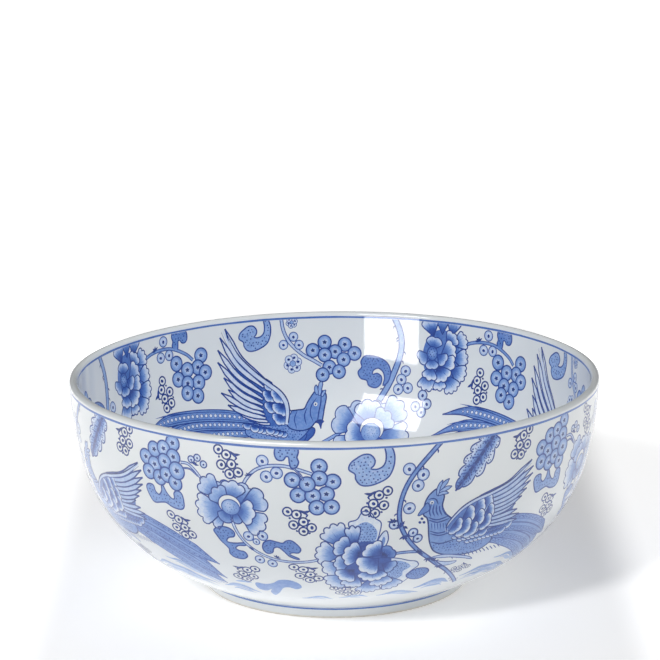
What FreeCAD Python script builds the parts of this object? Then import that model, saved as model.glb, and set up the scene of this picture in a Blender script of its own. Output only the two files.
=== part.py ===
"""Porcelain serving bowl, about 300 mm across and 122 mm high, as a parametric document.

The bowl is one fired piece made in layers, and each layer is a body of its own:
  porcelain_body            the turned clay vessel: floor, wall and lip
  foot_ring                 the clay ring luted under it, which the bowl stands on
  glaze_coat                the clear glaze on the inside, the lip, the outside and the foot's side
  underside_glaze           the glaze in the recess within the foot ring
  cobalt_rim_line_outside   a blue line, banded on the wheel, under the lip
  cobalt_rim_line_inside    the same inside
  cobalt_foot_line          the same at the top of the foot

Frame: millimetres, +Z up, the origin on the standing plane, on the axis of revolution.
Every body is a closed half section, turned once round that axis.
"""
import FreeCAD, Part
import math
import os
import re

import Sketcher

os.makedirs("parts", exist_ok=True)
doc = FreeCAD.newDocument("serving_bowl")

# ---------------------------------------------------------------- driving dimensions
# Lengths are in millimetres and turns in degrees.
DRIVING = {
    "rim_radius": 150.0,         # the finished bowl at its lip, over the glaze
    "bowl_height": 121.9,        # standing plane to the top of the lip
    "clay_wall": 4.0,            # the clay alone, from the lip to the belly
    "glaze_thickness": 0.4,      # on each face of the wall
    "floor_thickness": 6.0,      # the clay in the middle of the floor
    "foot_height": 7.2,          # standing plane to the underside of the clay floor
    "foot_top_radius": 79.0,     # over the glaze, where the wall meets the foot
    "foot_bottom_radius": 75.5,  # over the glaze, where its side would meet the standing plane
    "foot_width": 6.0,           # the clay ring's width at the standing plane
    "foot_rounding": 1.0,        # both edges of the ring's wiped standing face
    "bare_height": 1.6,          # the glaze is wiped back to this height on the foot
    "rim_turn": 10.5,            # how far the outside turns in its upper, flatter stretch
    "belly_turn": 43.3,          # how far it turns round the belly
    "heel_turn": 9.0,            # how far it turns in the flatter stretch down to the foot
    "rim_flatness": 2.49,        # radius of the upper stretch, over the belly's radius
    "heel_flatness": 2.08,       # radius of the lower stretch, over the belly's radius
    "line_thickness": 0.1,       # how proud the banded cobalt stands
    "rim_line_width": 1.2,
    "outside_line_drop": 0.3,    # wall left clear between the lip's rounding and the line
    "inside_line_drop": 0.2,
    "foot_line_width": 1.0,
    "foot_line_drop": 0.1,       # foot left clear between its top corner and the line
}

# ---------------------------------------------------------------- what follows from them
# The outside is three tangent arcs: rim, belly and heel. Their turns and the proportion of their
# radii are given, so one radius and one tilt make them run from the lip to the top of the foot.
# "reach" is that curve for a belly radius of 1 when it starts straight down. A "lean" is measured
# from the vertical, inwards on the way down. Points of the outside end in _r and _z.
DERIVED = {
    "whole_wall": "clay_wall + 2 * glaze_thickness",
    "lip_rounding": "whole_wall / 2",
    "lip_middle": "rim_radius - lip_rounding",
    "turn_to_heel": "rim_turn + belly_turn",
    "turn_to_foot": "turn_to_heel + heel_turn",
    "reach_in": "rim_flatness * (1 - cos(rim_turn)) + cos(rim_turn) - cos(turn_to_heel)"
                " + heel_flatness * (cos(turn_to_heel) - cos(turn_to_foot))",
    "reach_down": "rim_flatness * sin(rim_turn) + sin(turn_to_heel) - sin(rim_turn)"
                  " + heel_flatness * (sin(turn_to_foot) - sin(turn_to_heel))",
    "reach_squared": "reach_in ^ 2 + reach_down ^ 2",
    "span_in": "lip_middle - foot_top_radius",
    "span_down": "bowl_height - lip_rounding - foot_height",
    "belly_curve": "(reach_in * lip_rounding + sqrt(reach_in ^ 2 * lip_rounding ^ 2"
                   " + reach_squared * (span_in ^ 2 + span_down ^ 2 - lip_rounding ^ 2)))"
                   " / reach_squared",
    "rim_curve": "belly_curve * rim_flatness",
    "heel_curve": "belly_curve * heel_flatness",
    "lean_rim": "(atan2(span_in; span_down)"
                " - atan2(belly_curve * reach_in - lip_rounding; belly_curve * reach_down)) / 1 deg",
    "lean_belly": "lean_rim + rim_turn",
    "lean_heel": "lean_rim + turn_to_heel",
    "lean_foot": "lean_rim + turn_to_foot",
    "rim_r": "lip_middle + lip_rounding * cos(lean_rim)",
    "rim_z": "bowl_height - lip_rounding - lip_rounding * sin(lean_rim)",
    "belly_r": "rim_r - rim_curve * (cos(lean_rim) - cos(lean_belly))",
    "belly_z": "rim_z - rim_curve * (sin(lean_belly) - sin(lean_rim))",
    "heel_r": "belly_r - belly_curve * (cos(lean_belly) - cos(lean_heel))",
    "heel_z": "belly_z - belly_curve * (sin(lean_heel) - sin(lean_belly))",
    "foot_r": "foot_top_radius",
    "foot_z": "foot_height",
    # Inside, one more arc leaves the belly and comes to rest level on the floor.
    "floor_z": "foot_height + floor_thickness + glaze_thickness",
    "dish_curve": "(heel_z + whole_wall * sin(lean_heel) - floor_z) / (1 - sin(lean_heel))",
    "floor_r": "heel_r - (whole_wall + dish_curve) * cos(lean_heel)",
    "foot_batter": "(foot_top_radius - foot_bottom_radius) / foot_height",
    "foot_inner_radius": "foot_bottom_radius - glaze_thickness - foot_width",
    # The rim lines lie on the upper arc, between these leans.
    "outside_line_top": "lean_rim + outside_line_drop / rim_curve * 180 / pi",
    "outside_line_bottom": "outside_line_top + rim_line_width / rim_curve * 180 / pi",
    "inside_line_top": "lean_rim + inside_line_drop / (rim_curve - whole_wall) * 180 / pi",
    "inside_line_bottom": "inside_line_top + rim_line_width / (rim_curve - whole_wall) * 180 / pi",
}

sheet = doc.addObject("Spreadsheet::Sheet", "Dims")
formulas = {name: str(size) for name, size in DRIVING.items()}
formulas.update({name: "=" + rule for name, rule in DERIVED.items()})
for row, (name, text) in enumerate(formulas.items(), start=1):
    sheet.set(f"A{row}", name)
    sheet.set(f"B{row}", text)
    sheet.setAlias(f"B{row}", name)
doc.recompute()


def bound(expression):
    """The expression with the sheet named before each of its sizes, as the other objects need."""
    return re.sub(r"[a-z]+(?:_[a-z]+)+", lambda found: "Dims." + found.group(), expression)


def number(expression):
    """What the expression comes to now."""
    return float(sheet.evalExpression(bound(expression)))


# ---------------------------------------------------------------- half sections
# A path is corner, edge, corner ... A corner is an (r, z) pair of expressions. An edge is a radius
# and a turn: +1 for an arc that turns left, -1 for one that turns right, 0 for a straight line.
LINE = ("", 0)
LEFT, RIGHT = 1, -1


def on_wall(point, lean, depth):
    """The corner that lies depth below the finished outside, square to it, at one of its points."""
    return f"{point}_r - ({depth}) * cos({lean})", f"{point}_z + ({depth}) * sin({lean})"


def on_rim_arc(lean, depth):
    """The same anywhere on the upper arc, where the wall has this lean."""
    return (f"rim_r - rim_curve * (cos(lean_rim) - cos({lean})) - ({depth}) * cos({lean})",
            f"rim_z - rim_curve * (sin({lean}) - sin(lean_rim)) + ({depth}) * sin({lean})")


def outside_face(depth):
    """From the foot up to the top of the lip, depth below the finished face."""
    return [on_wall("foot", "lean_foot", depth), (f"heel_curve - {depth}", LEFT),
            on_wall("heel", "lean_heel", depth), (f"belly_curve - {depth}", LEFT),
            on_wall("belly", "lean_belly", depth), (f"rim_curve - {depth}", LEFT),
            on_wall("rim", "lean_rim", depth), (f"lip_rounding - {depth}", LEFT),
            ("lip_middle", f"bowl_height - {depth}")]


def inside_face(depth):
    """From just inside the lip down to the middle of the floor, depth below the finished face."""
    across = f"whole_wall - {depth}"
    return [on_wall("rim", "lean_rim", across), (f"rim_curve - whole_wall + {depth}", RIGHT),
            on_wall("belly", "lean_belly", across), (f"belly_curve - whole_wall + {depth}", RIGHT),
            on_wall("heel", "lean_heel", across), (f"dish_curve + {depth}", RIGHT),
            ("floor_r", f"floor_z - {depth}"), LINE,
            ("0", f"floor_z - {depth}")]


def whole_face(depth):
    """Foot, lip and floor in one."""
    return outside_face(depth) + [(f"lip_rounding - {depth}", LEFT)] + inside_face(depth)


def backwards(path):
    """The same path, run from its other end."""
    return [(item[0], -item[1]) if place % 2 else item
            for place, item in enumerate(reversed(path))]


def foot_side(height, depth):
    """The corner on the foot's sloping side at a height, depth in from the finished side."""
    return f"foot_bottom_radius + foot_batter * ({height}) - {depth}", height


def arc_between(start, end, radius, turn):
    """The arc under half a circle, and which of its ends (1 or 2) the path enters and leaves by."""
    along = end - start
    rise = math.sqrt(radius ** 2 - (along.Length / 2) ** 2)
    across = FreeCAD.Vector(-along.y, along.x, 0).normalize()
    centre = (start + end) / 2 + across * (turn * rise)
    first, last = (start, end) if turn == LEFT else (end, start)
    angles = [math.atan2(point.y - centre.y, point.x - centre.x) for point in (first, last)]
    if angles[1] < angles[0]:
        angles[1] += 2 * math.pi
    circle = Part.Circle(centre, FreeCAD.Vector(0, 0, 1), radius)
    return Part.ArcOfCircle(circle, *angles), ((1, 2) if turn == LEFT else (2, 1))


def draw_section(body, outline):
    """A sketch of the closed outline in the body's XZ plane, each size bound to the sheet."""
    plane = next(item for item in body.Origin.OriginFeatures if item.Role == "XZ_Plane")
    sketch = body.newObject("Sketcher::SketchObject", body.Name + "_section")
    sketch.AttachmentSupport = [(plane, "")]
    sketch.MapMode = "FlatFace"
    corners, edges = outline[0::2], outline[1::2]
    places = [FreeCAD.Vector(number(r), number(z), 0) for r, z in corners]

    def bind(constraint, expression):
        sketch.setExpression(f"Constraints[{sketch.addConstraint(constraint)}]", bound(expression))

    ends = []
    for here, (radius, turn) in enumerate(edges):
        start, end = places[here], places[(here + 1) % len(places)]
        if turn:
            curve, pair = arc_between(start, end, number(radius), turn)
        else:
            curve, pair = Part.LineSegment(start, end), (1, 2)
        ends.append(pair)
        sketch.addGeometry(curve, False)
    for here, (leave, (radius, turn)) in enumerate(zip(ends, edges)):
        after = (here + 1) % len(edges)
        sketch.addConstraint(Sketcher.Constraint("Coincident", here, leave[1], after, ends[after][0]))
        if turn:
            bind(Sketcher.Constraint("Radius", here, number(radius)), radius)
    origin, axis_across, axis_up = (-1, 1), -1, -2
    for here, ((r, z), place) in enumerate(zip(corners, places)):
        point = (here, ends[here][0])
        if r == "0":
            sketch.addConstraint(Sketcher.Constraint("PointOnObject", *point, axis_up))
        else:
            bind(Sketcher.Constraint("DistanceX", *origin, *point, place.x), r)
        if z == "0":
            sketch.addConstraint(Sketcher.Constraint("PointOnObject", *point, axis_across))
        else:
            bind(Sketcher.Constraint("DistanceY", *origin, *point, place.y), z)
    return sketch


def turned(label, outline):
    """A body of its own: the half section revolved once about the bowl's axis."""
    body = doc.addObject("PartDesign::Body", label)
    body.Label = label
    body.Placement = FreeCAD.Placement()
    sketch = draw_section(body, outline)
    revolution = body.newObject("PartDesign::Revolution", label + "_turned")
    revolution.Profile = sketch
    revolution.ReferenceAxis = (sketch, ["V_Axis"])
    revolution.Angle = 360
    doc.recompute()
    return body


# ---------------------------------------------------------------- the clay
def make_porcelain_body():
    """The vessel: level underside, three arcs up to the rounded lip, and the dished inside."""
    clay_foot = ("foot_top_radius - glaze_thickness", "foot_height")
    return turned("porcelain_body", [("0", "foot_height"), LINE, clay_foot, LINE]
                  + whole_face("glaze_thickness") + [LINE])


def make_foot_ring():
    """The ring under the floor, sloping outside, with both edges of its standing face rounded."""
    ring = turned("foot_ring", [
        ("foot_inner_radius", "0"), LINE,
        ("foot_bottom_radius - glaze_thickness", "0"), LINE,
        ("foot_top_radius - glaze_thickness", "foot_height"), LINE,
        ("foot_inner_radius", "foot_height"), LINE])
    edges = [f"Edge{count}" for count, edge in enumerate(ring.Tip.Shape.Edges, start=1)
             if isinstance(edge.Curve, Part.Circle) and abs(edge.Curve.Center.z) < 1e-6]
    rounding = ring.newObject("PartDesign::Fillet", "foot_ring_rounding")
    rounding.Base = (ring.Group[-2], edges)
    rounding.setExpression("Radius", bound("foot_rounding"))
    return ring


# ---------------------------------------------------------------- the glaze
def make_glaze_coat():
    """One unbroken coat from the foot, over the lip, to the middle of the floor."""
    return turned("glaze_coat", [foot_side("bare_height", "0"), LINE] + whole_face("0") + [LINE]
                  + backwards(whole_face("glaze_thickness")) + [LINE]
                  + [("foot_top_radius - glaze_thickness", "foot_height"), LINE,
                     foot_side("bare_height", "glaze_thickness"), LINE])


def make_underside_glaze():
    """The coat in the recess: the floor's underside and the ring's inner side."""
    inner = "foot_inner_radius - glaze_thickness"
    return turned("underside_glaze", [
        ("0", "foot_height - glaze_thickness"), LINE,
        (inner, "foot_height - glaze_thickness"), LINE,
        (inner, "bare_height"), LINE,
        ("foot_inner_radius", "bare_height"), LINE,
        ("foot_inner_radius", "foot_height"), LINE,
        ("0", "foot_height"), LINE])


# ---------------------------------------------------------------- the banded cobalt
def make_rim_line(label, top, bottom, inner, outer, radii):
    """A thin band on the upper arc, from lean top to lean bottom, between two depths."""
    return turned(label, [
        on_rim_arc(bottom, inner), LINE,
        on_rim_arc(bottom, outer), (radii[0], LEFT),
        on_rim_arc(top, outer), LINE,
        on_rim_arc(top, inner), (radii[1], RIGHT)])


def make_rim_line_outside():
    return make_rim_line("cobalt_rim_line_outside", "outside_line_top", "outside_line_bottom",
                         "0", "0 - line_thickness", ("rim_curve + line_thickness", "rim_curve"))


def make_rim_line_inside():
    return make_rim_line("cobalt_rim_line_inside", "inside_line_top", "inside_line_bottom",
                         "whole_wall + line_thickness", "whole_wall",
                         ("rim_curve - whole_wall", "rim_curve - whole_wall - line_thickness"))


def make_foot_line():
    """A thin band on the foot's sloping side, just under the corner with the wall."""
    top = "foot_height - foot_line_drop"
    bottom = "foot_height - foot_line_drop - foot_line_width"
    return turned("cobalt_foot_line", [
        foot_side(bottom, "0"), LINE, foot_side(bottom, "(0 - line_thickness)"), LINE,
        foot_side(top, "(0 - line_thickness)"), LINE, foot_side(top, "0"), LINE])


# ---------------------------------------------------------------- build, check, write
nodes = [make_porcelain_body(), make_foot_ring(), make_glaze_coat(), make_underside_glaze(),
         make_rim_line_outside(), make_rim_line_inside(), make_foot_line()]
doc.recompute()

for item in doc.Objects:
    if "Invalid" in item.State or "Error" in item.State:
        raise RuntimeError(f"{item.Label} failed: {item.State}")
    if item.TypeId == "Sketcher::SketchObject" and not item.FullyConstrained:
        raise RuntimeError(f"{item.Label} isn't fully constrained")
for node in nodes:
    if node.Shape.isNull() or not node.Shape.isValid() or len(node.Shape.Solids) != 1:
        raise RuntimeError(f"{node.Label} isn't one valid solid")

for node in nodes:
    node.Shape.exportStep(f"parts/{node.Label}.step")
    box = node.Shape.optimalBoundingBox(False)
    print(f"{node.Label:24s} {node.Shape.Volume / 1000:9.3f} cm3   "
          f"radius {box.XMax:8.3f}   z {box.ZMin:8.3f} to {box.ZMax:8.3f}")
print("outside radii: rim {:.1f}, belly {:.1f}, heel {:.1f}; rim lean {:.2f} degrees".format(
    *(number(name) for name in ("rim_curve", "belly_curve", "heel_curve", "lean_rim"))))
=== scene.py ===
# %% [markdown]
# # A blue and white porcelain serving bowl
#
# The bowl is one fired piece: white clay, cobalt painting, and a clear glaze over both. The packed
# CAD model holds its sizes. This lesson gives it its looks: a smooth glaze skin, the painting as a
# film in the glaze, the bare clay of the foot, a studio floor, lights and a camera.
#
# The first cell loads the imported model. Everything after it is in metres, in the same frame.


import math
import random

import bpy
import numpy as np
from mathutils import Matrix, Vector
from mathutils.geometry import delaunay_2d_cdt


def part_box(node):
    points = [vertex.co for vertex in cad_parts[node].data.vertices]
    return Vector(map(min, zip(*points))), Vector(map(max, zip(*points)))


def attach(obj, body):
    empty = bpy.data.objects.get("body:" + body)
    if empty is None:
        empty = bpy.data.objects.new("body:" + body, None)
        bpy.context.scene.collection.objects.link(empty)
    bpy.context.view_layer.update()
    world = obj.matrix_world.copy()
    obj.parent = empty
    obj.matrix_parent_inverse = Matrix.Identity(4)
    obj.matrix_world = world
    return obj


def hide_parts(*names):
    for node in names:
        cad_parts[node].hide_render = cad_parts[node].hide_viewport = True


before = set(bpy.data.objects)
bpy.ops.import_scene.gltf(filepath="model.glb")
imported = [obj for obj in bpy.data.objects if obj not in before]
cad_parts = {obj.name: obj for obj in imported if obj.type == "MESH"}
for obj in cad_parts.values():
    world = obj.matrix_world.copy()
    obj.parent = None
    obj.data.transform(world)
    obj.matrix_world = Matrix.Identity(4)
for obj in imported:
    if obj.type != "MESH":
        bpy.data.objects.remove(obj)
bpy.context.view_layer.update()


# %% [markdown]
# ## The wall's curve
#
# A thrown bowl is a curve turned round an axis. The outside is three tangent arcs, flatter at the
# rim and the heel than round the belly, and the inside runs parallel to it until one more arc
# brings it level on the floor. The turns of the arcs are the potter's choice; the lengths come from
# the frame, so the skin lies exactly on the CAD glaze.


# %% Sizes read from the frame
MM = 0.001
glaze_low, glaze_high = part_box("glaze_coat")
clay_low, clay_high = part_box("porcelain_body")
RIM_RADIUS = glaze_high[0] / MM
HEIGHT = glaze_high[2] / MM
GLAZE = (glaze_high[2] - clay_high[2]) / MM
FOOT_HEIGHT = clay_low[2] / MM
FOOT_TOP_RADIUS = 79.0
FOOT_BOTTOM_RADIUS = 75.5
BARE_HEIGHT = glaze_low[2] / MM
WALL = 4.0 + 2 * GLAZE
LIP = WALL / 2
FLOOR_THICKNESS = 6.0
RIM_TURN, BELLY_TURN, HEEL_TURN = 10.5, 43.3, 9.0
RIM_FLATNESS, HEEL_FLATNESS = 2.49, 2.08
print(f"rim {RIM_RADIUS:.2f}, height {HEIGHT:.2f}, glaze {GLAZE:.2f}, foot {FOOT_HEIGHT:.2f} mm")


# %% The outside and inside curves, as points about 0.5 mm apart
def arc_points(start, lean, radius, turn, gap=0.5):
    """Points along an arc that starts at a lean from upright and turns further in, to its end."""
    steps = max(4, int(radius * math.radians(abs(turn)) / gap))
    leans = np.radians(lean) + np.radians(turn) * np.arange(1, steps + 1) / steps
    first = math.radians(lean)
    r = start[0] - radius * (math.cos(first) - np.cos(leans))
    z = start[1] - radius * (np.sin(leans) - math.sin(first))
    return np.stack([r, z], axis=1)


def outside_lean_and_radius():
    """The belly's radius and the rim's lean that carry the arcs from the lip to the foot."""
    turns = np.radians(np.cumsum([0, RIM_TURN, BELLY_TURN, HEEL_TURN]))
    flatness = np.array([RIM_FLATNESS, 1.0, HEEL_FLATNESS])
    reach_in = float(np.sum(flatness * -np.diff(np.cos(turns))))
    reach_down = float(np.sum(flatness * np.diff(np.sin(turns))))
    span_in, span_down = RIM_RADIUS - LIP - FOOT_TOP_RADIUS, HEIGHT - LIP - FOOT_HEIGHT
    squared = reach_in ** 2 + reach_down ** 2
    root = math.sqrt(reach_in ** 2 * LIP ** 2 + squared * (span_in ** 2 + span_down ** 2 - LIP ** 2))
    belly = (reach_in * LIP + root) / squared
    lean = math.atan2(span_in, span_down) - math.atan2(belly * reach_in - LIP, belly * reach_down)
    return math.degrees(lean), belly


RIM_LEAN, BELLY = outside_lean_and_radius()


def wall_curve(depth):
    """The three arcs, depth inside the finished outside, from the lip down."""
    lean = math.radians(RIM_LEAN)
    start = (RIM_RADIUS - LIP + (LIP - depth) * math.cos(lean),
             HEIGHT - LIP - (LIP - depth) * math.sin(lean))
    points = [np.array([start])]
    for flat, turn, before in ((RIM_FLATNESS, RIM_TURN, 0), (1, BELLY_TURN, RIM_TURN)):
        points.append(arc_points(points[-1][-1], RIM_LEAN + before, BELLY * flat - depth, turn))
    return points


outside_arcs = wall_curve(0)
outside_arcs.append(arc_points(outside_arcs[-1][-1], RIM_LEAN + RIM_TURN + BELLY_TURN,
        BELLY * HEEL_FLATNESS, HEEL_TURN))
outside_curve = np.vstack(outside_arcs)
inside_arcs = wall_curve(WALL)
floor_height = FOOT_HEIGHT + FLOOR_THICKNESS + GLAZE
heel_lean = RIM_LEAN + RIM_TURN + BELLY_TURN
dish = (inside_arcs[-1][-1][1] - floor_height) / (1 - math.sin(math.radians(heel_lean)))
inside_arcs.append(arc_points(inside_arcs[-1][-1], heel_lean, dish, 90 - heel_lean))
floor_edge = inside_arcs[-1][-1][0]
level = np.full(int(floor_edge), floor_height)
inside_arcs.append(np.stack([np.linspace(floor_edge, 0, len(level)), level], axis=1)[1:])
inside_curve = np.vstack(inside_arcs)


def depth_along(curve):
    """How far each point lies along the curve from its top."""
    return np.concatenate([[0], np.cumsum(np.hypot(*np.diff(curve, axis=0).T))])


outside_depth, inside_depth = depth_along(outside_curve), depth_along(inside_curve)
print(f"wall outside {outside_depth[-1]:.1f} mm, inside {inside_depth[-1]:.1f} mm to the middle")


# %% [markdown]
# ## Drawing the decoration flat
#
# A factory decorates a bowl like this with printed paper sheets: cobalt ink is printed on tissue, laid
# wet on the clay, and fired under the glaze. So the painting is drawn here as flat sheets too, in
# millimetres across at the rim and millimetres down the wall, and bent round the bowl afterwards. Every
# stroke is an outline with a tone, from 0 for bare white to 1 for the darkest blue.


# %% A smooth curve through a few points
FINE_STEPS = 12   # fine steps between two given points, before they are spaced evenly


def smooth(points, closed=False, step=0.9):
    """A curve through the points (Catmull-Rom), with corners about step mm apart."""
    p = np.asarray(points, float)
    if closed:
        before, here, after, later = np.roll(p, 1, 0), p, np.roll(p, -1, 0), np.roll(p, -2, 0)
    else:
        ends = np.vstack([2 * p[0] - p[1], p, 2 * p[-1] - p[-2]])
        before, here, after, later = ends[:-3], ends[1:-2], ends[2:-1], ends[3:]
    t = np.linspace(0, 1, FINE_STEPS, endpoint=False)[None, :, None]
    a, b, c, d = (q[:, None, :] for q in (before, here, after, later))
    fine = 0.5 * (2 * b + (c - a) * t + (2 * a - 5 * b + 4 * c - d) * t ** 2
                  + (3 * b - a - 3 * c + d) * t ** 3)
    fine = fine.reshape(-1, 2)
    fine = np.vstack([fine, fine[:1] if closed else p[-1:]])
    lengths = np.hypot(*np.diff(fine, axis=0).T)
    along = np.concatenate([[0], np.cumsum(lengths)])
    count = max(3, int(round(along[-1] / step)) + 1)
    at = np.linspace(0, along[-1], count)
    out = np.stack([np.interp(at, along, fine[:, k]) for k in (0, 1)], axis=1)
    return out[:-1] if closed else out


print("a curve through 3 points has", len(smooth([(0, 0), (6, 4), (12, 0)])), "corners")


# %% A turned place, and a round outline
def turned(x, y, u, v, turn):
    """Where (u, v), counted from (x, y), comes to lie after a turn in degrees."""
    c, s = math.cos(math.radians(turn)), math.sin(math.radians(turn))
    return x + u * c - v * s, y + u * s + v * c


def circle(x, y, radius, flat=1.0, turn=0.0, step=0.9):
    """A round outline, or an ellipse when flat isn't 1."""
    count = max(8, int(2 * math.pi * radius / step))
    a = np.linspace(0, 2 * math.pi, count, endpoint=False)
    return np.stack(turned(x, y, radius * np.cos(a), radius * flat * np.sin(a), turn), axis=1)


print("a ring of 4 mm has", len(circle(0, 0, 4)), "corners")


# %% [markdown]
# ## A brush line
#
# A line on a print is not a bare edge: it has a width that swells and dies away, as a loaded brush
# leaves it. So a line is turned into a narrow area with its own outline, and it can be cut, toned and
# wrapped like any other area.


# %% The outline of a brush line
NARROWEST = 0.12   # share of its width that a line keeps at its thinnest


def ways(path):
    """At each point of a path, the way along it and the way to its side, each 1 long."""
    along = np.gradient(path, axis=0)
    along /= np.maximum(np.hypot(*along.T), 1e-9)[:, None]
    return along, np.stack([-along[:, 1], along[:, 0]], axis=1)


def both_sides(path, side, half):
    """The outline that runs up one side of a path and back down the other, half mm away."""
    return np.vstack([path + side * half[:, None], (path - side * half[:, None])[::-1]])


def ribbon(path, width, taper=(1.0, 1.0)):
    """The outline of a brush line along the path; taper is the width left at its two ends."""
    path = np.asarray(path, float)
    u = np.linspace(0, 1, len(path))
    swell = np.minimum(1, np.minimum(taper[0] + (1 - taper[0]) * u * 4,
            taper[1] + (1 - taper[1]) * (1 - u) * 4))
    return both_sides(path, ways(path)[1], width / 2 * np.maximum(swell, NARROWEST))


print("a line of 0.8 mm becomes", ribbon(smooth([(0, 0), (9, 2)]), 0.8).shape[0], "corners")


# %% [markdown]
# ## The sheet
#
# A printer builds a picture in layers: first the washes, then the outlines over them, and paper kept
# bare where white must show. The sheet keeps that order. Shapes that lie clear of the others start a
# new group, which keeps the later cutting quick.


# %% A sheet of shapes
class Print:
    """A flat sheet of the decoration. Each shape is (group, kind, outline, tone), and later shapes
    cover earlier ones."""

    def __init__(self):
        self.shapes = []
        self.groups = 0

    def group(self):
        """What follows lies clear of what came before, so it can be cut up on its own."""
        self.groups += 1

    def area(self, outline, tone, kind="wash"):
        """An outline filled with a tone, turned the positive way round first."""
        outline = np.asarray(outline, float)
        x, y = outline.T
        if np.sum(x * np.roll(y, -1) - y * np.roll(x, -1)) < 0:
            outline = outline[::-1]
        self.shapes.append((self.groups, kind, outline, tone))

    def bare(self, outline):
        """A place where the clay stays white."""
        self.area(outline, 0.0, "bare")

    def line(self, path, width=0.7, tone=0.9, taper=(1.0, 1.0), closed=False):
        """A brush line along a path, or all round a closed outline."""
        if closed:
            path = np.vstack([path, path[:2]])
        self.area(ribbon(path, width, taper), tone, "line")

    def drawn(self, outline, tone, width=0.7, dark=0.9):
        """An area with its outline; no tone leaves it bare."""
        if tone is None:
            self.bare(outline)
        else:
            self.area(outline, tone)
        self.line(outline, width, dark, closed=True)


def shapes_in(draw, *where):
    """How many shapes a motif takes, drawn on a sheet of its own."""
    sheet = Print()
    draw(sheet, *where)
    return len(sheet.shapes)


print("a new sheet has", len(Print().shapes), "shapes")


# %% [markdown]
# ## Tones that fade
#
# A petal is dark in its heart and almost white at its edge, because the ink was wiped outwards. A tone
# may therefore be a rule instead of a number: it looks at a place and answers how much ink lies there.


# %% Tones that fade from a point or a line
def glow(x, y, inner, outer, dark, light):
    """A tone that goes from dark, inner mm from a point, to light, outer mm from it."""
    def tone(px, py):
        t = np.clip((np.hypot(px - x, py - y) - inner) / (outer - inner), 0, 1)
        return dark + (light - dark) * t * t * (3 - 2 * t)
    return tone


def glow_line(rib, inner, outer, dark, light):
    """A tone that goes from dark to light in the same way, sideways from a line."""
    def tone(px, py):
        far = np.min(np.hypot(px[:, None] - rib[None, :, 0], py[:, None] - rib[None, :, 1]), axis=1)
        t = np.clip((far - inner) / (outer - inner), 0, 1)
        return dark + (light - dark) * t
    return tone


print("ink 3 mm from the heart:", glow(0, 0, 1, 6, 0.9, 0.1)(np.array([3.0]), np.array([0.0])))


# %% [markdown]
# ## Fruit
#
# The bunches on the bowl are round fruits with a dark rim, a lighter body and a star-shaped eye, each
# overlapping the last. One fruit is drawn by a function and a bunch is a list of middles, in the order
# in which they cover each other.


# %% Spots, fruits and bunches
DARK = 0.92   # the tone of the firmest outlines


def spot(sheet, x, y, size, tone=DARK):
    """A small hand-set dot."""
    sheet.area(circle(x, y, size, 0.8, 35 * (x + y), step=0.5), tone, "line")


def grape(sheet, x, y, radius):
    """A fruit with a dark rim, a lighter ring and a star-shaped eye."""
    sheet.area(circle(x, y, radius), glow(x, y, radius * 0.3, radius * 0.95, 0.17, 0.4))
    sheet.line(circle(x, y, radius), 0.85, 0.88, closed=True)
    star = [(x + r * math.cos(a), y + r * math.sin(a) * 0.9) for k in range(10) for r,
            a in [((0.4 if k % 2 else 0.22) * radius, k * math.pi / 5 + x)]]
    sheet.area(star, 0.95, "line")


def grapes(sheet, places, radius):
    """A bunch: fruits laid in the order of their middles."""
    for x, y in places:
        grape(sheet, x, y, radius)


print("a fruit takes", shapes_in(grape, 0, 0, 4.4), "shapes")


# %% [markdown]
# ## White berries
#
# Between the big motifs lie small sprays of white berries, each a ring with a dark eye, on a dark
# sprig. They are left bare inside, so that the white clay shows. A few larger rings sit singly beside
# the stalks.


# %% Sprays and single berries
BERRY_SPRAY = [(-7.6, -5.4), (-2.6, -4.6), (1.6, -0.8), (-3.6, 2.0), (6.4, 2.0), (2.2, 5.0)]


def berries(sheet, x, y, turn=0.0, size=1.0, mirror=1, wide=1.0):
    """A spray of white berries with a dark sprig at its back."""
    def place(u, v):
        across, down = turned(0, y, u * mirror * size, v * size, turn)
        return x + across * wide, down

    sprig = [place(*p) for p in ((-1.4, -7.4), (1.4, -6.6), (4.6, -8.0))]
    sheet.line(smooth(sprig), 1.5 * size, DARK, (0.3, 0.2))
    sheet.line(smooth([place(0.8, -6.2), place(3.2, -5.4), place(2.6, -3.6)]), 1.1 * size, DARK,
               (0.6, 0.3))
    for u, v in BERRY_SPRAY:
        px, py = place(u, v)
        ring = circle(px, py, 2.55 * size)
        ring[:, 0] = px + (ring[:, 0] - px) * wide
        sheet.bare(ring)
        sheet.line(ring, 0.9 * size, DARK, closed=True)
        spot(sheet, px + 0.2, py, 1.15 * size)
    for u, v in ((-6.0, -1.8), (-0.6, 1.6), (4.6, -2.2), (5.6, 5.6), (-1.4, 5.4)):
        px, py = place(u, v)
        spot(sheet, px, py, 0.75 * size)


def ring_berries(sheet, places, radius=3.2, width=0.6, tone=0.78):
    """Single berries: pale rings with a dark eye."""
    for px, py in places:
        sheet.area(circle(px, py, radius), glow(px, py, radius * 0.3, radius, 0.04, 0.24))
        sheet.line(circle(px, py, radius), width, tone, closed=True)
        spot(sheet, px, py + 0.2, radius * 0.36, 0.9)


print("a spray takes", shapes_in(berries, 0, 0), "shapes")


# %% [markdown]
# ## Stippling
#
# The leaves and breasts are stippled: rows of dots, each a little off its place, as a hand sets them.
# The dots keep clear of the outline, and a fixed seed gives the same dots at every run.


# %% Dots inside an outline
STAGGER, ROW_GAP = 0.25, 0.87   # how far a dot strays, and the space between rows, in dot gaps


def inside(outline, px, py):
    """Whether (px, py) lies within the outline."""
    x, y = outline.T
    x2, y2 = np.roll(x, -1), np.roll(y, -1)
    crosses = (y > py) != (y2 > py)
    with np.errstate(divide="ignore", invalid="ignore"):
        at = (x2 - x) * (py - y) / (y2 - y) + x
    return bool(np.sum(crosses & (px < at)) % 2)


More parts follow.
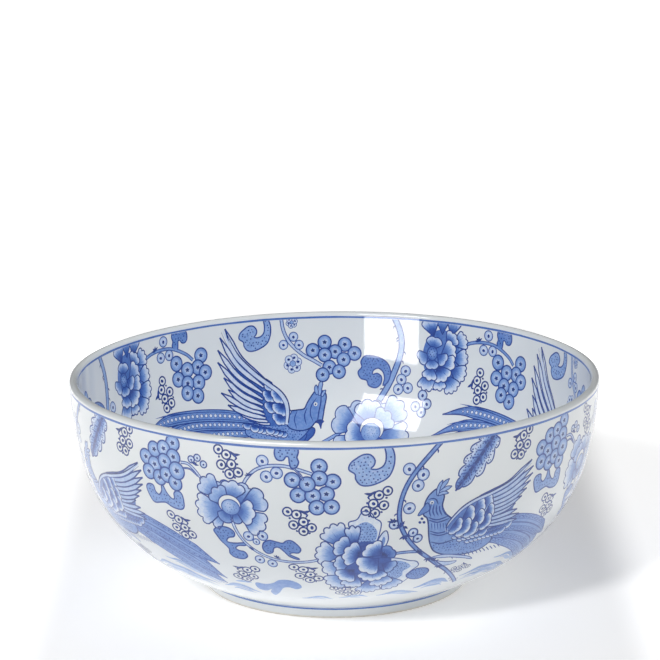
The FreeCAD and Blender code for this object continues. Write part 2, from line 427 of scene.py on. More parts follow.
def dots(sheet, outline, gap, size, tone=0.8, seed=1, inset=1.4):
    """Dots scattered evenly inside an outline, clear of its edge."""
    rng = random.Random(seed)
    outline = np.asarray(outline)
    low, high = outline.min(0), outline.max(0)
    row = 0
    v = low[1]
    while v < high[1]:
        u = low[0] + (gap / 2 if row % 2 else 0)
        while u < high[0]:
            px = u + rng.uniform(-STAGGER, STAGGER) * gap
            py = v + rng.uniform(-STAGGER, STAGGER) * gap
            if inside(outline, px, py) and np.hypot(*(outline - (px, py)).T).min() > inset:
                spot(sheet, px, py, size * rng.uniform(0.8, 1.2), tone)
            u += gap
        v += gap * ROW_GAP
        row += 1


print("a breast of 20 mm takes", shapes_in(dots, circle(0, 0, 10), 2.1, 0.5), "dots")


# %% [markdown]
# ## Curled leaves
#
# The leaves are scrolls, curls and forks, a mid wash inside a dark outline with stippling. Each kind is
# one outline, in millimetres about the point it grows from, which can be turned, sized and mirrored.


# %% Placing a leaf
def placed(points, x, y, turn=0.0, size=1.0, mirror=1):
    """An outline sized, mirrored and turned about the point it grows from, and put at (x, y)."""
    u, v = (np.asarray(points, float) * size * (mirror, 1)).T
    return np.stack(turned(x, y, u, v, turn), axis=1)


def leaf(sheet, points, x, y, turn=0.0, size=1.0, mirror=1, tone=0.38, gap=2.3, seed=1):
    """A scroll or curl leaf: a mid blue wash in a dark outline, stippled."""
    outline = smooth(placed(points, x, y, turn, size, mirror), closed=True)
    sheet.drawn(outline, tone, 0.85, 0.86)
    dots(sheet, outline, gap, 0.5, 0.88, seed, inset=1.2)


print("a leaf keeps its size:", np.ptp(placed([(0, 0), (8, 3)], 5, 5, 0), axis=0), "mm")


# %% Outlines of the leaves
TWO_HORNED = [(0, 0), (1.6, 3.4), (4.6, 6.6), (6.8, 6.4), (7.0, 3.2), (9.2, 1.4), (12.0, 2.2),
              (13.0, 5.4), (12.6, 10.4), (9.6, 12.4), (4.2, 11.8), (0.2, 10.0), (-3.4, 10.4),
              (-8.8, 11.4), (-11.6, 8.4), (-13.2, 3.4), (-11.4, 1.0), (-7.6, 1.0), (-6.6, 4.4),
              (-4.2, 6.0), (-1.8, 3.4), (-1.4, 0.4)]
SQUARE_SCROLL = [(-5.6, 0), (-6.4, 4.0), (-5.0, 7.0), (-2.0, 7.2), (-0.4, 5.2), (1.0, 5.4), (1.4, 8.6),
                 (2.2, 11.2), (4.8, 11.0), (6.2, 8.0), (5.4, 5.4), (6.2, 2.6), (5.6, 0), (3.0, -0.6),
                 (-3.0, -0.6)]
CURL = [(3.4, 0), (5.6, 1.6), (6.8, 6.2), (6.2, 12.0), (3.6, 17.2), (-1.6, 20.2), (-6.8, 21.6),
        (-11.0, 21.0), (-13.6, 17.8), (-14.0, 14.8), (-17.2, 12.2), (-16.2, 8.6), (-13.0, 6.0),
        (-9.6, 4.2), (-6.0, 4.4), (-3.6, 7.4), (-4.2, 10.4), (-5.8, 12.0), (-3.0, 12.6), (0.2, 11.4),
        (2.0, 8.6), (2.2, 4.4), (1.6, 0.6)]
SPIRAL = [(0, 0), (-1.4, -6.0), (1.0, -11.4), (6.4, -14.6), (11.4, -15.6), (16.0, -15.4), (18.6, -11.8),
          (18.0, -8.4), (20.4, -5.2), (18.6, -1.4), (14.6, -0.2), (13.0, 3.0), (8.4, 4.2), (5.0, 1.6),
          (4.6, -2.6), (7.6, -4.8), (10.6, -4.0), (10.2, -6.6), (6.8, -8.0), (3.6, -5.6), (2.6, -1.6),
          (3.4, 2.6)]
FORKED = [(0, 0), (-5.0, 0.8), (-9.0, 1.0), (-11.2, 0.2), (-9.6, -2.4), (-6.0, -3.6), (-5.4, -6.6),
          (-8.6, -9.0), (-13.8, -9.0), (-18.0, -6.4), (-16.8, -3.0), (-15.0, 0.4), (-12.6, 3.2),
          (-11.0, 5.8), (-11.4, 9.2), (-8.8, 11.8), (-3.6, 12.2), (-0.4, 9.8), (-1.4, 6.6), (-4.6, 6.0),
          (-6.6, 4.6), (-4.4, 2.4), (0, 1.8)]
KNUCKLE = [(0, 0), (-4.6, -2.0), (-7.6, -5.6), (-10.6, -8.4), (-13.4, -7.6), (-14.6, -4.4),
           (-18.0, -3.6), (-20.0, -6.6), (-19.0, -10.8), (-15.4, -12.8), (-11.0, -12.0), (-7.8, -11.4),
           (-5.8, -13.0), (-2.8, -13.4), (0.2, -11.0), (2.2, -7.6), (0.6, -5.0), (-2.8, -5.0),
           (-4.4, -3.6), (0.6, -0.8)]
LEAVES = (TWO_HORNED, SQUARE_SCROLL, CURL, SPIRAL, FORKED, KNUCKLE)
print("leaf outlines of", [len(outline) for outline in LEAVES], "points")


# %% [markdown]
# ## The ragged leaf
#
# One long leaf hangs from the lip with deep lobes on both sides, dark along its midrib and pale at its
# edge. Its outline follows the rib at a width that rises and falls with each lobe, so five numbers give
# the whole leaf.


# %% A ragged leaf
def feather_leaf(sheet, x, y, tip_x, tip_y, half=9.2):
    """A long ragged leaf: stippled, pale at its lobes, with a broad dark midrib."""
    rib = smooth([(x, y), (x + (tip_x - x) * 0.45 + 1.2, y + (tip_y - y) * 0.4), (tip_x, tip_y)])
    along, side = ways(rib)
    u = np.linspace(0, 1, len(rib))
    swell = half * np.sin(math.pi * np.clip(u * 0.9 + 0.12, 0, 1)) ** 0.6 * (1 - 0.3 * u)
    edges = []
    for sign, lobes, lead in ((1, 5, 0.0), (-1, 4, 0.4)):
        tooth = (u * lobes + lead) % 1.0
        width = np.maximum(swell * (0.68 + 0.36 * np.sin(math.pi * tooth ** 1.5) ** 0.7), 0.3)
        width[-1] = 0.2
        edges.append(rib + sign * side * width[:, None] + along * (1.6 * tooth * swell / half)[:, None])
    outline = np.vstack([edges[0], edges[1][::-1]])
    sheet.drawn(outline, glow_line(rib, 0.6, half * 0.55, 0.68, 0.1), 0.85, 0.88)
    dots(sheet, outline, 1.9, 0.52, 0.9, 7, inset=1.1)
    sheet.line(rib, 2.0, 0.93, (1.0, 0.2))
    for k in range(1, 7):
        at = int(len(rib) * (k / 7.4))
        for sign in (-1, 1):
            start = rib[at - 1]
            end = rib[min(at + 3, len(rib) - 1)] + side[at] * sign * swell[at] * 0.62
            sheet.line(smooth([start, (start + end) / 2 + along[at] * 0.8, end]), 0.8, 0.8, (1.0, 0.2))


print("the ragged leaf takes", shapes_in(feather_leaf, 0, 0, -22, 29), "shapes")


# %% [markdown]
# ## Stalks
#
# Three kinds of stalk carry the flowers: a thin one drawn as two fine lines with a pale wash between, a
# woody one with bark marks, and dark tufts of thorns where a twig has broken off.


# %% Thin stalks
def stem(sheet, points, width=2.0, tone=0.16, edge=0.55):
    """A hollow-looking stalk: two fine dark edges with a pale wash between."""
    path = smooth(points)
    side = ways(path)[1]
    sheet.area(ribbon(path, width), tone)
    for sign in (-1, 1):
        sheet.line(path + side * sign * (width - edge) / 2, edge, 0.85)


print("a thin stalk takes", shapes_in(stem, [(0, 0), (9, 4), (18, 0)]), "shapes")


# %% Woody stalks and thorns
def branch(sheet, points, width, tone=0.36, bark=8, seed=3):
    """A woody stalk: a mid wash between dark edges, with short bark marks."""
    path = smooth(points)
    along, side = ways(path)
    sheet.area(ribbon(path, width), tone)
    for sign in (-1, 1):
        sheet.line(path + side * sign * (width - 0.7) / 2, 0.8, 0.9)
    rng = random.Random(seed)
    for _ in range(bark):
        at = rng.randrange(3, len(path) - 3)
        sign = rng.choice((-1, 1))
        foot = path[at] + side[at] * sign * width / 2
        sheet.line(np.array([foot, foot + side[at] * sign * 0.9 + along[at] * 0.5,
                foot + side[at] * sign * 1.5 + along[at] * 1.4]), 0.9, DARK, (1, 0.3))


def thorns(sheet, x, y, turn=0.0, size=1.0):
    """A dark tuft of short strokes, where a twig breaks from the stalk."""
    for u, v in ((-2.4, -1.4), (-0.8, -2.2), (1.0, -1.6), (2.4, -0.2)):
        a, b = turned(0, 0, u, v, turn)
        stroke = [(x, y), (x + a * 0.5 * size, y + b * 0.5 * size), (x + a * size, y + b * size)]
        sheet.line(np.array(stroke), 1.1 * size, DARK, (1, 0.3))


print("a tuft takes", shapes_in(thorns, 0, 0), "shapes")


# %% [markdown]
# ## Petals
#
# Every flower is made of the same fan-shaped petal: a scalloped rim, a dark heart that fades outwards
# and a few fine streaks. The direction, length, spread and number of scallops make each petal
# different.


# %% One petal
REACH = 0.86        # share of its length over which a petal fades
RIM_POINTS = 44     # points along a petal's scalloped rim
STREAK_GAP = 9      # degrees between the fine streaks in a petal


def petal(sheet, x, y, direction, length, spread, lobes=3, dark=0.85, light=0.08, streaks=True,
          width=0.75):
    """A fan-shaped petal about its base: a scalloped edge, dark in its heart and pale at its edge."""
    t = np.linspace(0, 1, RIM_POINTS)
    angle = np.radians(direction + (t - 0.5) * spread)
    scallop = np.abs(np.sin(math.pi * lobes * t)) ** 0.6
    radius = length * (0.80 + 0.09 * np.sin(math.pi * t) + 0.13 * scallop)
    radius[[0, -1]] *= 0.86
    rim = np.stack([x + radius * np.cos(angle), y + radius * np.sin(angle)], axis=1)
    base = np.array((x, y), float)
    outline = np.vstack([smooth([base, base * 0.5 + rim[0] * 0.5, rim[0]])[:-1], rim,
            smooth([rim[-1], base * 0.5 + rim[-1] * 0.5, base])[1:-1]])
    sheet.area(outline, glow(x, y, length * (1 - REACH) + length * 0.12, length * 0.92, dark, light))
    for k in range(1, int(spread / STREAK_GAP) if streaks else 0):
        a = math.radians(direction - spread / 2 + k * STREAK_GAP + 3 * math.sin(k * 2.4))
        near, far = length * 0.45, length * (0.68 + 0.12 * math.sin(k * 1.7 + direction))
        streak = [(x + r * math.cos(a), y + r * math.sin(a)) for r in (near, (near + far) / 2, far)]
        sheet.line(np.array(streak), 0.36, dark * 0.72, (1.0, 0.2))
    sheet.line(outline, width, 0.9, closed=True)


def petals(sheet, x, y, rows, size=1.0, shade=1.0, streaks=True):
    """Petals from the back to the front. A row is the base's place, the direction, length, spread and
    number of lobes, and the tones of the heart and the edge."""
    for dx, dy, direction, length, spread, lobes, dark, light in rows:
        petal(sheet, x + dx * size, y + dy * size, direction, length * size, spread, lobes,
              shade * dark, light, streaks)


print("a petal takes", shapes_in(petal, 0, 0, 90, 14, 70), "shapes")


# %% [markdown]
# ## The small flower
#
# The open flower seen from the side has outer petals behind, two inner ones in front, and a stippled
# ball in a white ring. The petals are laid from the back to the front, since a later one covers an
# earlier one.


# %% The small flower
SIDE_FLOWER_BACK = (
    (-1, -2, 252, 13.4, 60, 2, 0.8, 0.2), (3, -2, 310, 14.0, 62, 2, 0.8, 0.16),
    (-2, 3, 142, 13.6, 50, 2, 0.8, 0.1), (-4.5, -4, 224, 15.5, 66, 3, 0.8, 0.14),
    (1, -4, 281, 11.5, 92, 3, 0.72, 0.1), (5.5, -1.5, 338, 15.8, 66, 2, 0.95, 0.16),
    (4.5, 2, 33, 16.5, 70, 3, 0.95, 0.08), (-3, 1.5, 174, 18.0, 74, 4, 0.72, 0.04),
)
SIDE_FLOWER_CUP = ((-1.0, 1.5, 124, 8.6, 84, 1, 0.95, 0.4), (1.5, 1.5, 72, 8.0, 60, 1, 0.9, 0.34))
SIDE_FLOWER_FRONT = ((-1.0, -0.5, 228, 12.5, 76, 3, 0.74, 0.24), (2.4, 1.2, 8, 11.5, 104, 3, 0.85, 0.06))
SIDE_SHADE = 0.84   # this flower is printed a little paler than the others


def small_peony(sheet, x, y, size=1.0):
    """An open flower seen from the side: eight outer petals, a cup of two, two in front, and a ball."""
    sheet.area(circle(x, y, 8.0 * size), 0.62)
    petals(sheet, x, y, SIDE_FLOWER_BACK, size, SIDE_SHADE)
    petals(sheet, x, y, SIDE_FLOWER_CUP, size, SIDE_SHADE, streaks=False)
    petals(sheet, x, y, SIDE_FLOWER_FRONT, size, SIDE_SHADE)
    sheet.drawn(circle(x - 0.5 * size, y - 1.6 * size, 6.4 * size, 0.86), None, 0.6)
    ball = circle(x, y, 5.2 * size, 0.86)
    sheet.drawn(ball, glow(x - 1, y - 1, 1, 6.4 * size, 0.2, 0.48), 0.6, 0.8)
    dots(sheet, circle(x, y, 4.6 * size, 0.8), 2.0, 0.3, 0.75, 3, inset=0.9)


print("the small flower takes", shapes_in(small_peony, 0, 0), "shapes")


# %% [markdown]
# ## The full flower
#
# The largest flower has two rings of scalloped petals over a dark ground, with pale stippled petals
# above and beside it. The ground shows between the petals as their deepest shade.


# %% Pale petals with a stippled heart
def dotted_petal(sheet, points, heart, seed=5):
    """A leaf-like outer petal: cream edge, and a stippled blue heart."""
    outline = smooth(points, closed=True)
    sheet.drawn(outline, 0.04, 0.7, 0.85)
    inner = smooth(heart, closed=True)
    sheet.area(inner, 0.34)
    dots(sheet, inner, 1.75, 0.42, 0.85, seed, inset=0.5)


print("a pale petal on its own:", shapes_in(dotted_petal, circle(0, 0, 6), circle(0, 0, 4)), "shapes")


# %% Counting points from a place
def shifted(x, y):
    """Moves a list of points, so that they can be counted from (x, y)."""
    return lambda points: [(x + a, y + b) for a, b in points]


print("2 mm right of (10, 0) is", shifted(10, 0)([(2, 0)])[0])


# %% The full flower
FULL_FLOWER_OUTER = (
    (-14, -3, 236, 18.0, 62, 4, 0.9, 0.05), (-9, -2, 262, 16.0, 40, 3, 0.9, 0.12),
    (-17, 2, 190, 15.0, 84, 4, 0.62, 0.04), (-15, 9, 158, 14.0, 80, 3, 0.6, 0.05),
    (-12, 17, 138, 17.0, 74, 4, 0.66, 0.06), (2, 22, 92, 16.5, 78, 5, 0.75, 0.1),
    (11, 20, 60, 17.0, 62, 4, 0.66, 0.14), (-7, 16, 106, 15.5, 68, 4, 0.8, 0.06),
    (7, 16, 78, 15.0, 76, 4, 0.8, 0.06),
)
FULL_FLOWER_INNER = (
    (-12, 8, 176, 9.5, 110, 3, 0.66, 0.12), (-11, -2, 206, 11.0, 104, 3, 0.85, 0.1),
    (-9, 13, 132, 12.5, 96, 3, 0.95, 0.05), (3, 12, 92, 13.0, 118, 5, 0.95, 0.05),
    (-4, 3, 196, 12.6, 112, 4, 0.95, 0.05), (5, 5, 138, 14.0, 104, 3, 0.8, 0.03),
    (5.6, 3.0, 226, 11.4, 96, 3, 0.82, 0.06), (6.4, 4.4, 318, 9.0, 100, 2, 0.95, 0.5),
    (7.4, 9.4, 28, 9.6, 84, 2, 0.9, 0.25),
)


def big_peony(sheet, x, y):
    """The full flower: stippled petals above and beside, then two rings of scalloped petals."""
    put = shifted(x, y)
    dotted_petal(sheet, put([(-12, -15), (-13, -20), (-8.5, -21.8), (-5.5, -26.4), (-1, -25.4),
            (1.4, -22), (4.6, -19.4), (4.4, -14), (2.4, -7), (-4, -3), (-10, -8)]),
                 put([(-11, -15.5), (-7, -19), (-3, -20), (1, -17), (3, -12.5), (1.4, -7), (-4, -4),
                      (-9.5, -9)]), 5)
    dotted_petal(sheet, put([(4, 8), (12, 5.4), (18, 6.4), (24, 8.6), (29, 10), (31, 13.6), (28, 17),
            (25, 21.6), (27, 25), (22, 31), (14, 36), (4, 30)]), put([(5, 10), (12, 7.4), (19, 8.4),
            (24, 11), (26, 14), (22, 17.4), (22, 22), (15, 26), (6, 22)]), 6)
    leaf(sheet, [(27, 19), (31, 16.4), (37.5, 17.2), (40, 21), (36.6, 26.4), (30.5, 26.4), (25.5, 23)],
         x, y, tone=0.5, gap=2.0, seed=9)
    sheet.drawn(smooth(put([(3, -6), (5.6, -12.4), (8.2, -13.8), (9.4, -8), (7.6, -3), (5, -1)]),
            closed=True), 0.06)
    vein = smooth(put([(5.2, -5), (6.4, -10), (7.6, -9), (7.4, -5.2), (6, -2.6)]), closed=True)
    sheet.area(vein, 0.5)
    sheet.area(circle(x - 3, y + 9, 16.0, 1.05), 0.8)
    petals(sheet, x, y, FULL_FLOWER_OUTER)
    petals(sheet, x, y, FULL_FLOWER_INNER)


print("the full flower takes", shapes_in(big_peony, 0, 0), "shapes")


# %% [markdown]
# ## The outside bird
#
# A long-tailed bird with a crest raises one wing over its back. Its parts are separate functions, laid
# from the back to the front: the lined tail, the body, the head, the neck, then the wing with its
# flight feathers and its cloud-shaped coverts.


# %% One feather
def quill(sheet, root, tip, width, bend=0.0, light=0.1, line=0.5):
    """One flight feather: a long pointed blade with a dark edge."""
    root, tip = np.asarray(root, float), np.asarray(tip, float)
    chord = tip - root
    side = np.array([-chord[1], chord[0]]) / np.hypot(*chord)
    middle = smooth([root, root + chord * 0.5 + side * bend, tip], step=1.1)
    u = np.linspace(0, 1, len(middle))
    half = width / 2 * np.clip(np.minimum(0.45 + u * 2.2, (1 - u) * 4.5), 0.06, 1)
    sheet.drawn(both_sides(middle, ways(middle)[1], half), light, line)


print("a flight feather takes", shapes_in(quill, (0, 0), (30, 0), 3), "shapes")


# %% Its tail
def bird_tail(sheet, x, y):
    """Three broad lined feathers, one over the other, that end in a ragged fan."""
    put = shifted(x, y)
    tail = [([(98, 63), (116, 62), (138, 71), (158, 84), (172, 99)], 15.0),
            ([(98, 62), (118, 60), (140, 67), (160, 78), (175.5, 92.5)], 12.0),
            ([(100, 60), (120, 56.5), (142, 61), (162, 70), (176.5, 78.5)], 11.0)]
    for route, wide in tail:
        middle = smooth(put(route), step=1.2)
        u = np.linspace(0, 1, len(middle))
        out = ways(middle)[1]
        half = wide / 2 * np.clip(np.minimum(0.7 + u * 0.8, (1 - u) * 5), 0.05, 1)
        sheet.drawn(both_sides(middle, out, half), 0.4, 0.6, 0.8)
        for offset in (-0.72, -0.4, 0.42, 0.74):
            sheet.line((middle + out * half[:, None] * offset)[2:-3], 0.42, 0.68, (0.3, 0.2))
        sheet.line(middle[2:-2], 0.9, 0.8, (0.6, 0.2))
        for k in range(2, len(middle) - 4, 2):
            for offset in (-0.85, -0.56, 0.56, 0.86):
                at = slice(k, k + 3)
                shift = out[at] * half[at, None] * (offset + 0.05 * math.sin(k * 2.3))
                sheet.line(middle[at] + shift, 0.5 + 0.2 * math.sin(k * 1.7 + offset * 9), 0.74,
                           (0.3, 0.3))
        for k in range(3, len(middle) - 5, 3):
            for sign in (-0.2, 0.2):
                px, py = middle[k] + out[k] * half[k] * sign * 3.0
                spot(sheet, px, py, 0.62, 0.8)


print("its tail takes", shapes_in(bird_tail, 0, 0), "shapes")


# %% Its body and head
def bird_body(sheet, x, y):
    """The breast and the neck in one wash."""
    put = shifted(x, y)
    body = smooth(put([(72, 26.5), (75.5, 31), (75, 37), (77.5, 42), (82, 46), (85, 50), (88, 56),
            (93, 60), (102, 60), (112, 62), (114, 67), (108, 71.6), (98, 73), (88, 71.5), (80, 69.6),
            (74, 66), (70.5, 60), (68.8, 54), (67.8, 48), (66.6, 43.5), (64.4, 41.4), (64.2, 37.6),
            (65, 33), (67.5, 29)]), closed=True)
    sheet.drawn(body, 0.42, 0.9, 0.95)


def bird_head(sheet, x, y):
    """A crest, a beak, an eye and the dark wattles under the beak."""
    put = shifted(x, y)
    for tip, width in (((77.8, 21.6), 2.4), ((79.6, 26.2), 2.2), ((78.0, 30.0), 1.8), ((74.0, 22.0),
            1.8)):
        quill(sheet, put([(71.5, 30.5)])[0], put([tip])[0], width, bend=-0.8, light=0.3, line=0.55)
    sheet.drawn(smooth(put([(66.2, 34.2), (63.2, 37.4), (61.0, 41.4), (64.4, 40.4), (67.6, 38.4)]),
            closed=True), 0.5, 0.6)
    sheet.area(circle(x + 68.6, y + 34.4, 1.15), 0.0, "bare")
    spot(sheet, x + 68.7, y + 34.5, 0.62, 0.95)
    cheek = smooth(put([(66.2, 32.6), (68.6, 32.0), (71.0, 33.0), (72.4, 36.0)]))
    sheet.line(cheek, 0.7, 0.9, (0.3, 0.3))
    for wx, wy in ((63.6, 43.4), (62.6, 45.6), (65.0, 45.8)):
        sheet.area(circle(x + wx, y + wy, 1.0, 0.8, 40), 0.9, "line")


print("they take", shapes_in(bird_body, 0, 0) + shapes_in(bird_head, 0, 0), "shapes")


# %% Its neck and breast
def bird_neck(sheet, x, y):
    """Soft stripes and bands down the neck, and stippling with short barbs on the breast."""
    put = shifted(x, y)
    for k in range(5):
        a = 68.4 + k * 1.6
        sheet.line(smooth(put([(a, 35 + k * 0.6), (a - 0.8 + k * 0.4, 39.5), (a + 0.4 + k * 0.6, 43)])),
                   0.85, 0.85, (0.4, 0.2))
    for low in (44.2, 45.8, 53.0, 54.6, 60.4):
        sheet.line(smooth(put([(67.4 + (low - 44) * 0.22, low - 1.0), (72.6 + (low - 44) * 0.3,
                low + 1.0), (79.4 + (low - 44) * 0.42, low - 0.4)])), 0.85, 0.9, (0.5, 0.5))
    for k in range(7):
        a = 69.6 + k * 1.75
        sheet.line(np.array(put([(a, 47.0 + 0.2 * k), (a + 0.5, 49.5 + 0.1 * k), (a + 0.8, 51.6)])),
                   0.6, 0.8, (1, 0.2))
    breast = smooth(put([(72, 62), (80, 60), (88, 61), (100, 63), (108, 66), (104, 70.6), (92, 70),
            (80, 67.5), (74, 64.5)]), closed=True)
    dots(sheet, breast, 2.1, 0.5, 0.85, 11, inset=0.4)
    for k in range(13):
        a = 86 + k * 3.0
        sheet.line(smooth(put([(a, 71.4), (a + 2.2, 73.2), (a + 4.0, 75.8 - 0.1 * k)])), 0.6, 0.85,
                   (1, 0.2))


print("its neck and breast take", shapes_in(bird_neck, 0, 0), "shapes")


# %% Its wing
def bird_wing(sheet, x, y):
    """The raised wing: long flight feathers over a dark ground, then rows of cloud-shaped coverts."""
    put = shifted(x, y)
    roots = put([(98 + 0.75 * k, 35.5 + 2.15 * k) for k in range(11)])
    tips = put([(133.5, 20.6), (135.5, 24.6), (135.8, 28.8), (134.8, 33.0), (132.6, 37.0),
                (129.6, 41.0), (125.4, 44.6), (128.0, 48.6), (130.6, 52.0), (130.4, 55.6),
                (126.0, 58.0)])
    ground = put([(80, 51), (83, 45), (90, 38.6), (99, 35.0), (108, 32.6), (118, 31.0), (124, 33),
                  (126, 40), (124, 48), (122, 56), (112, 61), (98, 61), (86, 58)])
    sheet.area(smooth(ground, closed=True), 0.6)
    for k in reversed(range(len(roots))):
        quill(sheet, roots[k], tips[k], 3.1 - 0.06 * k, bend=3.2 - 0.34 * k, light=0.2, line=0.85)
    for row, (sx, sy, count) in enumerate(((103, 57.5, 8), (97, 60.4, 9), (92, 58.0, 6), (89, 55.6, 5))):
        for k in range(count):
            petal(sheet, x + sx - row + k * 2.9, y + sy - 0.2 * k, 66, 4.4, 130, lobes=1, dark=0.7,
                  light=0.06, streaks=False, width=0.5)
    for cx, cy, radius, direction in ((104, 39.5, 7.0, 12), (106.5, 45.5, 6.6, 18), (106, 51.0, 6.4,
            24), (98.5, 41.5, 7.6, 14), (99.5, 48.0, 7.4, 22), (97, 54.0, 6.8, 36), (92.0, 45.0, 7.8,
            18), (91.0, 51.5, 7.6, 30), (86.0, 50.0, 6.6, 30)):
        petal(sheet, x + cx - 3, y + cy, direction, radius, 165, lobes=3, dark=0.85, light=0.04,
              width=0.6)
    edge = smooth(put([(79.6, 53.0), (79.2, 49.6), (81.6, 45.4), (87.6, 39.6), (95.6, 35.8),
            (106, 33.4), (117, 30.2), (126.4, 25.4), (133.5, 20.6)]))
    sheet.line(edge + (0.2, 0.9), 2.0, 0.14, (0.6, 0.2))
    sheet.line(edge, 0.9, 0.95, (1.0, 0.3))
    sheet.line(edge + (0.4, 2.0), 0.5, 0.8, (1.0, 0.3))


print("it takes", shapes_in(bird_wing, 0, 0), "shapes")


# %% The whole bird
def phoenix(sheet, x, y):
    """The outside bird, its parts laid from the back to the front."""
    for part in (bird_tail, bird_body, bird_head, bird_neck, bird_wing):
        part(sheet, x, y)


print("the outside bird takes", shapes_in(phoenix, 0, 0), "shapes")


# %% [markdown]
# ## The outside sheet
#
# The outside repeats one sheet four times. The sheet has fruit, a small flower, an arching stalk, a
# woody stalk from lip to foot with the full flower over it, and the bird. Low on the wall are soft
# washes without an outline, for rocks and banks.


# %% Left fruit and small flower
def left_fruit(s):
    """The fruit at the left of the sheet, with its two-horned leaf."""
    s.group()
    leaf(s, TWO_HORNED, -100.2, 30.5, seed=2)
    grapes(s, [(-103.6, 10.2), (-90.4, 4.6), (-96.8, 8.6), (-110.4, 15.6), (-90.6, 12.4),
               (-104.4, 18.8), (-97.0, 16.0), (-109.4, 23.8), (-102.0, 26.0), (-96.8, 23.6),
               (-91.2, 27.4)], 4.4)
    grapes(s, [(-89.2, 20.0)], 5.0)


def small_flower(s):
    """The small flower, its stalk from the left fruit, and the arching stalk to the next."""
    s.group()
    stem(s, [(-86, 14.6), (-81.4, 14.8), (-77.2, 18.0), (-73.6, 22.4)], 1.9)
    stem(s, [(-85.4, 17.8), (-80.4, 17.6), (-75.6, 21.0)], 1.2)
    ring_berries(s, [(-79.0, 12.0), (-75.2, 10.6), (-71.6, 13.8)], 2.0, 0.7, 0.9)
    thorns(s, -77.0, 14.6, 10)
    s.group()
    ring_berries(s, [(-38.0, 8.6), (-36.2, 17.2), (-30.6, 14.8)], 3.2)
    stem(s, [(-50.4, 25.6), (-47.4, 19.4), (-42.0, 13.8), (-35.0, 11.2), (-26.8, 10.8), (-19.6, 12.4),
             (-12.0, 14.8)], 2.1)
    stem(s, [(-21.0, 12.4), (-18.0, 15.4), (-16.6, 18.6)], 1.3)
    thorns(s, -45.6, 17.2, -30, 0.9)
    small_peony(s, -57.8, 36.8, 1.02)
    leaf(s, SQUARE_SCROLL, -25.0, 0.4, seed=4)


print("they take", shapes_in(left_fruit), "and", shapes_in(small_flower), "shapes")


# %% Fruit under the arch
def arch_fruit(s):
    """The fruit under the arch, and the low stalk with its two curled leaves."""
    s.group()
    grapes(s, [(-22.4, 18.4), (-19.6, 27.0), (-8.2, 10.6), (-1.2, 19.0), (-4.6, 26.0), (-11.8, 27.2),
               (-9.8, 34.0), (-2.0, 33.6), (-8.2, 17.2), (-14.6, 20.6)], 4.2)
    s.group()
    ring_berries(s, [(-49.4, 53.8), (-41.0, 52.8)], 3.0)
    ring_berries(s, [(-45.2, 57.0)], 2.0)
    leaf(s, KNUCKLE, -22.0, 68.2, tone=0.5, seed=12)
    leaf(s, FORKED, -52.4, 58.6, tone=0.48, seed=13)
    stem(s, [(-58.0, 43.6), (-56.6, 49.6), (-53.4, 56.4), (-48.6, 62.0), (-42.2, 66.4), (-34.0, 69.4),
             (-24.0, 70.4), (-14.0, 69.2), (-6.0, 66.4)], 2.1)
    ring_berries(s, [(-45.4, 70.0), (-38.0, 72.4)], 2.9, 0.6, 0.85)
    thorns(s, -34.4, 67.6, 10, 0.9)
    thorns(s, -49.0, 61.6, 200, 0.8)


print("they take", shapes_in(arch_fruit), "shapes")


# %% The woody stalk and the full flower
def main_stalk(s):
    """The woody stalk from lip to foot, with its berries and thorns, and the full flower over it."""
    ring_berries(s, [(39.2, 13.8), (47.0, 17.6), (44.4, 23.6), (40.2, 36.4)], 3.3, 0.6, 0.85)
    ring_berries(s, [(32.2, 45.6), (43.6, 51.6), (46.8, 55.8)], 2.7, 0.8, 0.9)
    stem(s, [(26.0, 67.4), (33.0, 65.4), (41.0, 64.8), (50.6, 65.4)], 2.3, 0.3, 0.7)
    branch(s, [(57.4, -0.4), (50.6, 6.6), (43.4, 14.8), (38.0, 23.6), (35.2, 33.0), (35.0, 42.0),
               (37.6, 50.0), (42.4, 57.6), (48.6, 64.6), (55.6, 70.6), (63.0, 77.0), (72.0, 84.0),
               (82.0, 93.4), (92.0, 104.0)], 2.9, 0.46, 12)
    for tx, ty, turn in ((36.6, 46.6, -60), (38.4, 53.6, 150), (49.6, 66.6, 30), (56.4, 71.6, 160),
            (60.0, 74.0, 20), (31.8, 44.0, -20), (66.0, 79.6, 170)):
        thorns(s, tx, ty, turn, 1.25)
    big_peony(s, 20.2, 63.0)


print("they take", shapes_in(main_stalk), "shapes")


# %% The bird and the leaves beside it
def bird_and_leaves(s):
    """The hanging curl, the ragged leaf, the bird and the bank it stands on."""
    s.group()
    leaf(s, CURL, 24.4, 0.2, tone=0.27, seed=21)
    s.group()
    feather_leaf(s, 88.8, 0.6, 66.4, 29.2)
    s.group()
    phoenix(s, -15.7, 0)
    for points in ([(56, 71.4), (62, 72.6), (70, 73.6), (80, 76.4), (88, 79.2), (84, 76.0), (74, 72.6),
                    (64, 70.4)], [(60, 75.0), (68, 77.0), (76, 78.0), (72, 80.2), (64, 79.4)]):
        s.drawn(smooth([(a + 2.0, b) for a, b in points], closed=True), 0.16, 0.6, 0.8)


print("they take", shapes_in(bird_and_leaves), "shapes")


